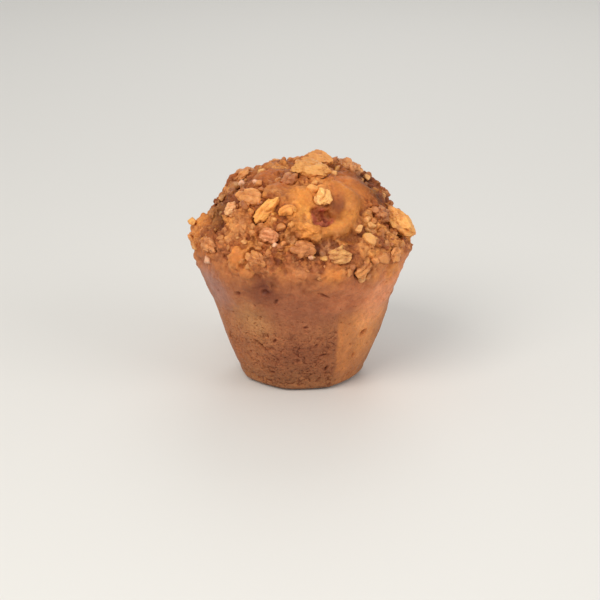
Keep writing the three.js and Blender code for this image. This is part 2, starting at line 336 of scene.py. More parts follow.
def line_height(azimuth):
    return (
        STEP_Z
        + 0.9 * np.sin((azimuth + 75) * RAD)
        + 0.7 * np.sin((3 * azimuth + 50) * RAD)
    )


def rim_wave(azimuth):
    return (
        0.5 * np.sin((2 * azimuth + 20) * RAD)
        + 0.45 * np.sin((3 * azimuth - 65) * RAD)
        + 0.35 * np.sin((5 * azimuth + 130) * RAD)
        + 0.25 * np.sin((8 * azimuth + 10) * RAD)
    )


def surface(t, azimuth, extra=None):
    """The crumb's skin at t, azimuth (arrays of one shape): points and the plain normals."""
    t, azimuth = np.broadcast_arrays(np.asarray(t, float), np.asarray(azimuth, float))
    p, n = plain(t, azimuth)
    foot = smooth(0, 6, p[:, 2])
    out = np.stack(
        [np.sin(azimuth * RAD), -np.cos(azimuth * RAD), np.zeros_like(azimuth)], -1
    )
    r = np.hypot(p[:, 0], p[:, 1])
    d = swelling(p) * foot
    if extra is not None:
        d = d + extra(p) * foot
    radial = (
        -r * flats(azimuth, p[:, 2])
        + rim_wave(azimuth) * smooth(24, 50, p[:, 2]) * (1 - smooth(60, 70, p[:, 2]))
        - LINE_STEP
        * (1 - smooth(-1.6, 1.6, p[:, 2] - line_height(azimuth)))
        * smooth(6, 20, p[:, 2])
    )
    p = p + n * d[:, None] + out * radial[:, None]
    p[t <= FOOT_T + 1e-9, 2] = 0
    return p, n


def local_frame(azimuth, t):
    """Point, along, up and outward directions of the swollen skin."""
    p = surface(np.array([t]), np.array([azimuth]))[0][0]
    s = surface(
        np.array([t, t, t - 0.02, min(1, t + 0.02)]),
        np.array([azimuth - 4, azimuth + 4, azimuth, azimuth]),
    )[0]
    along = s[1] - s[0]
    along /= np.linalg.norm(along)
    up = s[3] - s[2]
    up /= np.linalg.norm(up)
    n = np.cross(along, up)
    n /= np.linalg.norm(n)
    return p, along, np.cross(n, along), n


# finer folds that the solid does not carry: azimuth, place, height, spread
FOLDS = [
    (-42.8, 0.697, 1.5, 4.2),  # the light lump on the left
    (35, 0.64, 0.7, 4.0),  # the tan lump on the right
    (17.5, 0.582, 1.6, 3.2),  # lumps under the rim in front
    (0.5, 0.580, 1.1, 3.2),
    (55, 0.56, 1.0, 3.8),
    (42, 0.56, 1.2, 2.8),
    (30, 0.572, -1.1, 2.2),
    (9, 0.578, -0.8, 1.8),
    (50, 0.585, -0.9, 2.0),
    (-32, 0.565, 0.9, 3.0),
    (-54, 0.575, 0.8, 3.0),
    (-43, 0.565, -0.8, 2.2),
    (-74, 0.645, 0.7, 3.8),
    (11.2, 0.684, 1.2, 2.2),  # the round knob under the lip
    (2, 0.765, 0.7, 3.4),  # the golden bulge left of the pit
    (-11, 0.72, 0.9, 2.6),
    (43, 0.815, -1.5, 3.6),
    (34, 0.80, 0.9, 4.2),
    (-90, 0.63, -1.5, 6.0),
    (-84, 0.58, -0.6, 6.0),
    (-95, 0.745, -2.4, 6.5),
    (-90, 0.812, -2.1, 6.5),
    (96, 0.80, -1.6, 6.0),
    (39, 0.755, -0.7, 2.6),
    (48, 0.77, 0.9, 3.0),
    (26, 0.700, 0.5, 2.2),
    (6, 0.70, 0.6, 2.2),
    (-24, 0.845, 0.7, 3.8),
    (-75, 0.885, 1.5, 5.0),
    (-34, 0.73, -0.7, 2.2),
    (60, 0.86, 0.6, 4.6),
    (50, 0.84, -0.6, 2.2),
    (9, 0.656, -1.3, 2.4),  # the dark holes of the gutter
    (22, 0.664, -1.1, 3.0),
    (-48, 0.6, -0.9, 2.4),
    (-68, 0.725, -0.9, 3.6),
    (-6, 0.69, -1.0, 2.4),
    (88, 0.795, -0.9, 3.6),
    (-12, 0.61, -0.8, 2.4),
    (-28, 0.64, -0.8, 1.8),
    (56, 0.665, -1.0, 2.4),
    (-19, 0.53, -0.8, 3.0),
    (60, 0.75, 0.6, 3.0),
    (120, 0.78, 0.8, 3.4),
    (160, 0.7, -0.8, 3.0),
    (-160, 0.72, 0.9, 3.4),
    (-125, 0.66, -0.9, 3.0),
    (-100, 0.7, 0.8, 3.0),
    (140, 0.66, -0.9, 2.8),
    (180, 0.86, 0.8, 4.4),
    (-130, 0.86, 0.7, 4.0),
    (115, 0.62, 0.8, 3.2),
    (-150, 0.6, -0.8, 2.6),
]
folds_at = [(placed(a, t), h, w) for a, t, h, w in FOLDS]


def pit_bowl(p):
    """How deep the dark pit is at p; it narrows inwards and its edge is soft."""
    o, along, up, n = PIT_FRAME
    q = p - o
    x, y = q @ along, q @ up
    turn = np.arctan2(y, x)
    wobble = 1 + 0.10 * np.sin(3 * turn + 0.6) + 0.07 * np.sin(5 * turn + 2) + 0.05 * np.sin(9 * turn)
    k = np.sqrt((x / PIT[2]) ** 2 + (y / PIT[3]) ** 2) / wobble
    near = np.abs(q @ n) < 9
    return PIT[4] * 0.68 * np.where(near, np.clip(1 - k**2.4, 0, 1) ** 0.85, 0)


PIT_FRAME = local_frame(PIT[0], PIT[1])


def in_pit(p, wider=0.0):
    """1 inside the pit's outline, whatever the depth."""
    o, along, up, n = PIT_FRAME
    q = p - o
    k = np.sqrt(((q @ along) / (PIT[2] + wider)) ** 2 + ((q @ up) / (PIT[3] + wider)) ** 2)
    return np.where(np.abs(q @ n) < 10, 1 - smooth(0.8, 1.08, k), 0)


def fine(p):
    d = -pit_bowl(p)
    for c, h, w in folds_at:
        d += h * gauss(p, c, w)
    return d


# ---------------------------------------------------------------- mesh helpers
def new_object(name, verts, faces, smooth_shade=True):
    me = bpy.data.meshes.new(name)
    v = np.asarray(verts, np.float32)
    f = np.asarray(faces, np.int32)
    me.vertices.add(len(v))
    me.vertices.foreach_set("co", v.ravel())
    k = f.shape[1]
    me.loops.add(f.size)
    me.loops.foreach_set("vertex_index", f.ravel())
    me.polygons.add(len(f))
    me.polygons.foreach_set("loop_start", np.arange(0, f.size, k, dtype=np.int32))
    me.update(calc_edges=True)
    me.validate()
    if smooth_shade:
        me.shade_smooth()
    ob = bpy.data.objects.new(name, me)
    bpy.context.scene.collection.objects.link(ob)
    return ob


def verts_of(me):
    v = np.zeros(len(me.vertices) * 3, np.float32)
    me.vertices.foreach_get("co", v)
    return v.reshape(-1, 3).astype(float)


def normals_of(me):
    v = np.zeros(len(me.vertices) * 3, np.float32)
    me.vertices.foreach_get("normal", v)
    return v.reshape(-1, 3).astype(float)


def set_verts(me, v):
    me.vertices.foreach_set("co", np.asarray(v, np.float32).ravel())
    me.update()


def edges_of(me):
    e = np.zeros(len(me.edges) * 2, np.int32)
    me.edges.foreach_get("vertices", e)
    return e.reshape(-1, 2)


def relax(v, e, times, strength=0.5):
    """Laplacian smoothing."""
    n = len(v)
    deg = np.bincount(e.ravel(), minlength=n).astype(float)
    deg[deg == 0] = 1
    for _ in range(times):
        m = np.empty_like(v)
        for k in range(v.shape[1]):
            m[:, k] = np.bincount(e[:, 0], v[e[:, 1], k], n) + np.bincount(
                e[:, 1], v[e[:, 0], k], n
            )
        v = v + strength * (m / deg[:, None] - v)
    return v


def settle(v, e, times):
    """Taubin smoothing, which keeps the volume."""
    for _ in range(times):
        v = relax(v, e, 1, 0.55)
        v = relax(v, e, 1, -0.57)
    return v


def put(me, name, values):
    """A point attribute: one number or a colour."""
    values = np.asarray(values, np.float32)
    if values.ndim == 1:
        a = me.attributes.new(name, "FLOAT", "POINT")
        a.data.foreach_set("value", values)
    else:
        c = np.ones((len(values), 4), np.float32)
        c[:, :3] = values
        a = me.attributes.new(name, "FLOAT_COLOR", "POINT")
        a.data.foreach_set("color", c.ravel())


def with_modifier(ob, kind, **values):
    m = ob.modifiers.new("m", kind)
    for k, v in values.items():
        setattr(m, k, v)
    dg = bpy.context.evaluated_depsgraph_get()
    me = bpy.data.meshes.new_from_object(ob.evaluated_get(dg), depsgraph=dg)
    old = ob.data
    ob.modifiers.clear()
    ob.data = me
    bpy.data.meshes.remove(old)
    return ob


def tree_of(points):
    tree = kdtree.KDTree(len(points))
    for i, c in enumerate(points):
        tree.insert(c, i)
    tree.balance()
    return tree


_balls = {}


def ball(level):
    """An icosphere's unit vertices and triangles."""
    if level not in _balls:
        bm = bmesh.new()
        bmesh.ops.create_icosphere(bm, subdivisions=level, radius=1)
        bm.verts.ensure_lookup_table()
        v = np.array([x.co for x in bm.verts])
        v /= np.linalg.norm(v, axis=1)[:, None]
        f = np.array([[x.index for x in p.verts] for p in bm.faces])
        bm.free()
        _balls[level] = (v, f)
    return _balls[level]


# ---------------------------------------------------------------- walnut pieces
NUTS = [
    ("walnut_crest_a", 128, 0.944, 13.4, 9.6, 8.4, 14, 0.32),
    ("walnut_crest_b", 126, 0.858, 9.8, 7.4, 6.0, -20, 0.5),
    ("walnut_crest_c", 97, 0.857, 9.2, 7.2, 6.0, 30, 0.42),
    ("walnut_crown", 18.5, 0.927, 17.6, 11.8, 8.6, -30, 0.22),
    ("walnut_chunk", 18.5, 0.816, 8.8, 7.4, 6.4, 60, 0.36),
    ("walnut_lobed", -15, 0.892, 8.0, 6.6, 5.8, 70, 0.4),
    ("walnut_tan", -41.5, 0.786, 12.8, 7.4, 6.2, 8, 0.44),
    ("walnut_pale", -53, 0.742, 9.0, 6.4, 5.4, 10, 0.44),
    ("walnut_yellow", -25, 0.762, 13.2, 8.4, 6.8, 66, 0.36),
    ("walnut_gold", -9, 0.764, 7.4, 5.8, 5.0, 20, 0.42),
    ("walnut_right", 74, 0.656, 15.2, 12.0, 9.6, 94, 0.31),
    ("walnut_brown", 60.5, 0.716, 10.4, 7.8, 6.4, -15, 0.42),
    ("walnut_rim_a", -59, 0.62, 10.4, 6.0, 5.2, -8, 0.44),
    ("walnut_rim_b", -92, 0.578, 9.4, 7.2, 5.2, 60, 0.54),
    ("walnut_rim_e", -24, 0.615, 9.8, 6.6, 5.4, -12, 0.46),
    ("walnut_pink", -20, 0.694, 8.8, 6.4, 5.4, -8, 0.42),
    ("walnut_gutter", 2, 0.655, 11.6, 7.4, 6.0, 8, 0.42),
    ("walnut_front", 21.5, 0.624, 9.8, 6.0, 4.8, -10, 0.42),
    ("walnut_rim_c", 34, 0.587, 9.4, 7.2, 5.4, 35, 0.44),
    ("walnut_rim_d", 54, 0.602, 8.8, 6.4, 5.4, 10, 0.44),
]
FAR = 9
for i in range(FAR):
    ring = i % 3
    far_az = 108 + (i * 144) / FAR + 9 * (float(hash1(i + 201)) - 0.5)
    far_t = [0.6, 0.7, 0.8][ring] + 0.03 * (float(hash1(i + 231)) - 0.5)
    far_l = 8.6 + 4.2 * float(hash1(i + 251))
    NUTS.append(
        (
            "walnut_far_" + str(i + 1),
            far_az,
            far_t,
            far_l,
            far_l * (0.66 + 0.14 * float(hash1(i + 271))),
            far_l * (0.5 + 0.1 * float(hash1(i + 291))),
            180 * float(hash1(i + 311)),
            0.48,
        )
    )
LOBES = 7
CUTS = 4


def unit(seed_u, seed_a, squash=1.0):
    u = squash * (2 * float(hash1(seed_u)) - 1)
    a = 2 * math.pi * float(hash1(seed_a))
    q = math.sqrt(1 - u * u)
    return np.array([q * math.cos(a), q * math.sin(a), u])


def lobe_reach(d, centre, axes, turn):
    """How far along each direction d an egg-shaped lobe reaches from the middle."""
    m = turn @ np.diag(1 / np.asarray(axes) ** 2) @ turn.T
    dd = np.einsum("ni,ij,nj->n", d, m, d)
    dc = d @ (m @ centre)
    cc = centre @ m @ centre - 1
    disc = dc * dc - dd * cc
    return np.where(disc > 0, (dc + np.sqrt(np.maximum(disc, 0))) / dd, 0)


# extra broken faces of single kernels: direction in its own frame and distance
SHAPED = {
    "walnut_right": [((-0.72, 0.0, 0.70), 0.60), ((0.72, 0.45, -0.45), 0.66), ((0.1, 0.9, 0.45), 0.72)],
    "walnut_crown": [((0.75, 0.55, 0.35), 0.66), ((-0.75, -0.55, 0.35), 0.68), ((0.1, -0.45, 0.88), 0.72)],
    "walnut_crest_a": [((0.6, -0.6, 0.5), 0.62), ((-0.7, 0.2, 0.66), 0.64), ((0.2, 0.85, 0.45), 0.7)],
    "walnut_yellow": [((0.2, 0.8, 0.55), 0.60), ((-0.55, -0.7, 0.45), 0.66)],
    "walnut_chunk": [((0.0, -0.3, 0.95), 0.66), ((0.8, 0.3, 0.5), 0.7), ((-0.6, 0.6, 0.5), 0.7)],
}


def walnut(d, seed, detail=1.0, extra_lobes=5, shaped=()):
    """Radius along unit directions d of a broken, lobed kernel, and how much of it is a
    broken face (1) or skin (0)."""
    w = d + 0.10 * noise3(d, 0.7, seed % 53)
    w /= np.linalg.norm(w, axis=1)[:, None]
    r = 0.70 + 0.06 * noise(d, 0.9, seed % 41)
    for k in range(LOBES + extra_lobes):
        if k < LOBES:
            c = unit(seed * 31 + k * 5 + 1, seed * 31 + k * 5 + 2)
            h = 0.18 + 0.26 * float(hash1(seed * 31 + k * 5 + 3))
        else:
            c = unit(seed * 43 + k * 9 + 1, seed * 43 + k * 9 + 4)
            h = 0.10 + 0.12 * float(hash1(seed * 43 + k * 9 + 2))
        side = np.cross(c, unit(seed * 13 + k, seed * 19 + k * 3 + 1))
        side /= np.linalg.norm(side)
        turn = np.stack([c, side, np.cross(c, side)], 1)
        deep = 0.36
        axes = (
            deep,
            0.23 + 0.09 * float(hash1(seed * 7 + k * 11)),
            0.42 + 0.2 * float(hash1(seed * 5 + k * 13)),
        )
        r = np.maximum(r, lobe_reach(w, c * (0.74 + 0.8 * h - deep), axes, turn))
    # the groove along the outer side
    r = r - 0.22 * np.exp(-(((d[:, 1] - 0.1) / 0.2) ** 2)) * smooth(0.1, 0.7, d[:, 2])
    # folds of the kernel
    q = d + 0.22 * noise3(d, 0.8, seed % 59)
    r = r + detail * (0.07 * ridged(q, 0.5, seed % 97) - 0.035)
    r = r + detail * 0.045 * noise(d, 0.24, seed % 89)
    broken = np.zeros(len(d))
    for k in range(2):
        m = unit(seed * 17 + k * 7 + 6, seed * 17 + k * 7 + 5, 0.5)
        h = 0.70 + 0.14 * float(hash1(seed * 17 + k * 7 + 8))
        g = d @ m
        cut = np.where(g > 0.05, h / np.maximum(g, 0.05), 9)
        cut = cut + detail * (0.03 * noise(d, 0.22, seed % 83 + 5) + 0.02 * noise(d, 0.5, 3))
        broken = np.maximum(broken, smooth(-0.02, 0.03, r - cut))
        r = np.minimum(r, cut)
    # smaller chipped faces, mostly on the outer side
    for k in range(CUTS):
        m = unit(seed * 23 + k * 7 + 3, seed * 29 + k * 5 + 1)
        m[2] = abs(m[2]) * 0.8 + 0.2
        m /= np.linalg.norm(m)
        h = 0.78 + 0.16 * float(hash1(seed * 37 + k * 3))
        g = d @ m
        cut = np.where(g > 0.1, h / np.maximum(g, 0.1), 9)
        cut = cut + detail * (0.035 * noise(d, 0.3, seed % 79 + k) + 0.03 * noise(d, 0.12, 9))
        broken = np.maximum(broken, 0.8 * smooth(-0.03, 0.03, r - cut))
        r = np.minimum(r, cut)
    for k, (m, h) in enumerate(shaped):
        m = np.asarray(m) / np.linalg.norm(m)
        g = d @ m
        cut = np.where(g > 0.1, h / np.maximum(g, 0.1), 9)
        cut = cut + 0.05 * noise(d, 0.35, 91 + k) + 0.03 * noise(d, 0.14, 95 + k)
        broken = np.maximum(broken, smooth(-0.03, 0.03, r - cut))
        r = np.minimum(r, cut)
    # late wrinkles also cross the broken faces
    r = r + detail * (0.03 * ridged(q, 0.32, seed % 37) - 0.015)
    return r, broken


def chopped(d, seed, faces=7, rough=1.0):
    """A chip: flat broken faces with worn edges. Radius and how much is a broken face."""
    r = 1.0 + 0.16 * noise(d, 0.8, seed % 71)
    best = np.full(len(d), 9.0)
    golden = math.pi * (3 - math.sqrt(5))
    for k in range(faces):
        u = 1 - 2 * (k + 0.5) / faces + 0.25 * (float(hash1(seed * 3 + k)) - 0.5)
        u = min(0.98, max(-0.98, u))
        a = golden * k + 1.4 * float(hash1(seed * 7 + k * 3))
        q = math.sqrt(1 - u * u)
        m = np.array([q * math.cos(a), q * math.sin(a), u])
        h = 0.50 + 0.36 * float(hash1(seed * 11 + k * 5))
        g = d @ m
        best = np.minimum(best, np.where(g > 0.08, h / np.maximum(g, 0.08), 9))
    broken = smooth(-0.05, 0.06, r - best)
    soft = -np.log(np.exp(-24 * r) + np.exp(-24 * best)) / 24
    soft = soft + rough * (0.05 * noise(d, 0.36, seed % 67) + 0.05 * noise(d, 0.18, seed % 61))
    return soft, broken


def fitted(body, size):
    """Scales a body so that it fills size exactly."""
    return body * (np.asarray(size) / 2 / np.abs(body).max(0))


def nut_matrix(azimuth, t, thick, spin, sunk):
    p, along, up, n = local_frame(azimuth, t)
    x = along * math.cos(spin * RAD) + up * math.sin(spin * RAD)
    y = np.cross(n, x)
    return np.stack([x, y, n], 1), p + n * thick * (0.5 - sunk)


NUT_PLACES = [
    (nut_matrix(az, t, th, spin, sunk), np.array([le, wi, th]) / 2)
    for _, az, t, le, wi, th, spin, sunk in NUTS
]


def nearness(v):
    """Distance in mm from each point to the nearest walnut piece, roughly, up to 4."""
    best = np.full(len(v), 4.0)
    for (m, o), half in NUT_PLACES:
        q = v - o
        close = (q * q).sum(-1) < (half.max() + 4) ** 2
        if not close.any():
            continue
        k = np.linalg.norm((q[close] @ m) / half, axis=1)
        best[close] = np.minimum(best[close], (k - 0.92) * half.mean())
    return best


# ---------------------------------------------------------------- where the crown is smooth
SMOOTH = [
    (27, 0.786, 8.5, 1.1),
    (2, 0.80, 6.0, 1.0),
    (-75, 0.885, 7.5, 0.9),
    (-24, 0.85, 5.5, 0.9),
    (58, 0.86, 8.0, 0.62),
    (60, 0.80, 6.5, 0.55),
    (78, 0.83, 6.5, 0.5),
    (-36, 0.615, 4.2, 0.8),
    (-42.8, 0.70, 4.0, 0.6),
    (36, 0.645, 4.0, 0.5),
    (17.5, 0.58, 4.4, 0.7),
    (50, 0.555, 5.5, 0.7),
    (-2, 0.56, 5.5, 0.5),
    (-90, 0.645, 7.5, 0.95),
    (150, 0.83, 8.0, 0.7),
    (-140, 0.84, 8.5, 0.7),
    (175, 0.6, 7.0, 0.6),
    (115, 0.58, 6.0, 0.6),
    (-115, 0.62, 6.0, 0.6),
]
smooth_at = [(placed(a, t), w, s) for a, t, w, s in SMOOTH]


def caramel_mask(v):
    """1 where the dome is smooth, glossy crust, 0 on crumble."""
    m = 0.9 * np.minimum(1, 1.2 * along_line(v, lip_at, 3.2))
    for c, w, s in smooth_at:
        m = m + s * gauss(v, c, w)
    return np.clip(m, 0, 1)


# ---------------------------------------------------------------- the crumb's skin
def grid_skin():
    cols, rows = ((440, 290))
    t = FOOT_T + (1 - FOOT_T) * (np.arange(rows) / rows)
    az = 360 * np.arange(cols) / cols
    tt, aa = np.meshgrid(t, az, indexing="ij")
    p, _ = surface(tt.ravel(), aa.ravel(), fine)
    crown = surface(np.array([1.0]), np.array([0.0]), fine)[0][0]
    crown[:2] = 0
    v = np.vstack([[0, 0, 0], p, crown])
    f = []
    j = np.arange(cols)
    k = (j + 1) % cols
    zero = np.zeros(cols, int)
    f.append(np.stack([zero, 1 + k, 1 + j], 1))
    for i in range(rows - 1):
        a, b = 1 + i * cols, 1 + (i + 1) * cols
        f.append(np.stack([a + j, a + k, b + k], 1))
        f.append(np.stack([a + j, b + k, b + j], 1))
    a = 1 + (rows - 1) * cols
    f.append(np.stack([a + j, a + k, zero + len(v) - 1], 1))
    return v, np.vstack(f)


def lump_field():
    """Baked-on crumble: azimuth, place, size of each lump that melts into the skin."""
    rng = np.random.default_rng(21)
    n = 60000
    az = rng.uniform(-180, 180, n)
    t = rng.uniform(0.515, 0.985, n)
    r, _ = on_section(t)
    p, _ = plain(t, az)
    keep = smooth(0.53, 0.60, t)
    keep *= np.clip(1 - 1.1 * caramel_mask(p), 0, 1) * (1 - in_pit(p, 1.5))
    keep *= 1 - 0.9 * gauss(p, placed(1, 0.77), 6.0)
    keep *= 0.35 + 0.65 * smooth(-0.25, 0.2, noise(p, 11, 70))
    keep *= r / 40
    ok = np.nonzero(rng.random(n) < keep)[0]
    out, grid = [], {}
    for i in ok:
        size = 2.4 + 4.4 * rng.random() ** 1.5
        gap = size * 0.7
        key = tuple(np.floor(p[i] / 3.0).astype(int))
        clash = False
        for dx in (-1, 0, 1):
            for dy in (-1, 0, 1):
                for dz in (-1, 0, 1):
                    for q, s in grid.get((key[0] + dx, key[1] + dy, key[2] + dz), ()):
                        if ((q - p[i]) ** 2).sum() < ((gap + s * 0.7) * 0.62) ** 2:
                            clash = True
        if clash:
            continue
        grid.setdefault(key, []).append((p[i], size))
        out.append((az[i], t[i], size, rng.random(), rng.random() * 360))
        if len(out) >= 330:
            break
    return out


def cells(v, mask, count, seed, spread, warp, lift, tilt, blend):
    """Uneven fused crumbs, each with a tilted face: height in mm, how far inside its
    crumb each point is, and the crumb's number."""
    rng = np.random.default_rng(seed)
    idx = np.nonzero(mask)[0]
    seeds = v[rng.choice(idx, count, replace=False)]
    weight = rng.random(count) ** 1.5 * spread
    lifts = rng.random(count) * lift
    slopes = rng.normal(size=(count, 3)) * tilt
    find = tree_of(seeds).find_n
    near = np.empty((len(idx), 4), int)
    dist = np.empty((len(idx), 4))
    w = v[idx] + warp
    for j in range(len(idx)):
        for k, x in enumerate(find(w[j], 4)):
            near[j, k], dist[j, k] = x[1], x[2]
    f = dist - weight[near]
    order = np.argsort(f, 1)
    f = np.take_along_axis(f, order, 1)
    near = np.take_along_axis(near, order, 1)
    share = np.exp(-blend * (f - f[:, :1]))
    share /= share.sum(1)[:, None]
    own = lifts[near] + ((w[:, None] - seeds[near]) * slopes[near]).sum(-1)
    height, edge, which = np.zeros(len(v)), np.full(len(v), 3.0), np.zeros(len(v), int)
    height[idx] = (share * own).sum(1)
    edge[idx] = f[:, 1] - f[:, 0]
    which[idx] = near[:, 0]
    return height, edge, which


# tears in the base and the collar: azimuth, height, half-length, half-width, tilt, depth
TEARS = [
    (-29.5, 19.5, 3.0, 0.75, -42, 1.5),
    (48.5, 22.9, 1.35, 0.95, 30, 2.1),
    (44.5, 13.8, 0.8, 0.7, 0, 0.6),
    (12.5, 43.5, 2.2, 0.5, -28, 0.9),
    (-20, 44.0, 1.5, 0.9, 10, 1.0),
    (-14, 41.0, 1.2, 0.6, 60, 0.7),
    (-38, 41.5, 1.4, 0.8, 30, 0.9),
    (-18, 23.0, 1.3, 0.6, 50, 0.8),
    (16, 16.5, 2.0, 0.45, 10, 0.7),
    (20, 10.0, 1.6, 0.5, 70, 0.8),
    (-24, 8.0, 1.2, 0.6, 20, 0.7),
    (3, 29.5, 0.9, 0.5, 0, 0.6),
    (-60, 20, 1.4, 0.6, 60, 0.8),
    (100, 24, 1.2, 0.7, 30, 1.0),
    (140, 30, 1.8, 0.6, -30, 0.9),
    (175, 20, 1.2, 0.8, 10, 1.0),
    (-145, 36, 1.6, 0.7, 40, 0.9),
    (-110, 16, 1.3, 0.6, 80, 0.8),
    (-95, 40, 1.6, 0.6, -20, 0.8),
    (80, 38, 1.2, 0.5, 15, 0.7),
]


def porous(az, z):
    """1 in the torn, spongy patches of the base, 0 on its smooth flats."""
    turn = 25.9 - 0.17 * (z - 20)
    front = smooth(-44, -26, az) * (1 - smooth(turn - 3, turn, az)) * (1 - smooth(21, 33, z))
    left = 0.65 * np.exp(-(((az + 46) / 20) ** 2)) * (1 - smooth(24, 37, z))
    back = 0.8 * np.exp(-((((az - 160 + 180) % 360 - 180) / 34) ** 4)) * (1 - smooth(16, 27, z))
    back2 = 0.6 * np.exp(-((((az + 120 + 180) % 360 - 180) / 22) ** 4)) * (1 - smooth(14, 26, z))
    return np.clip(front + left + back + back2, 0, 1)


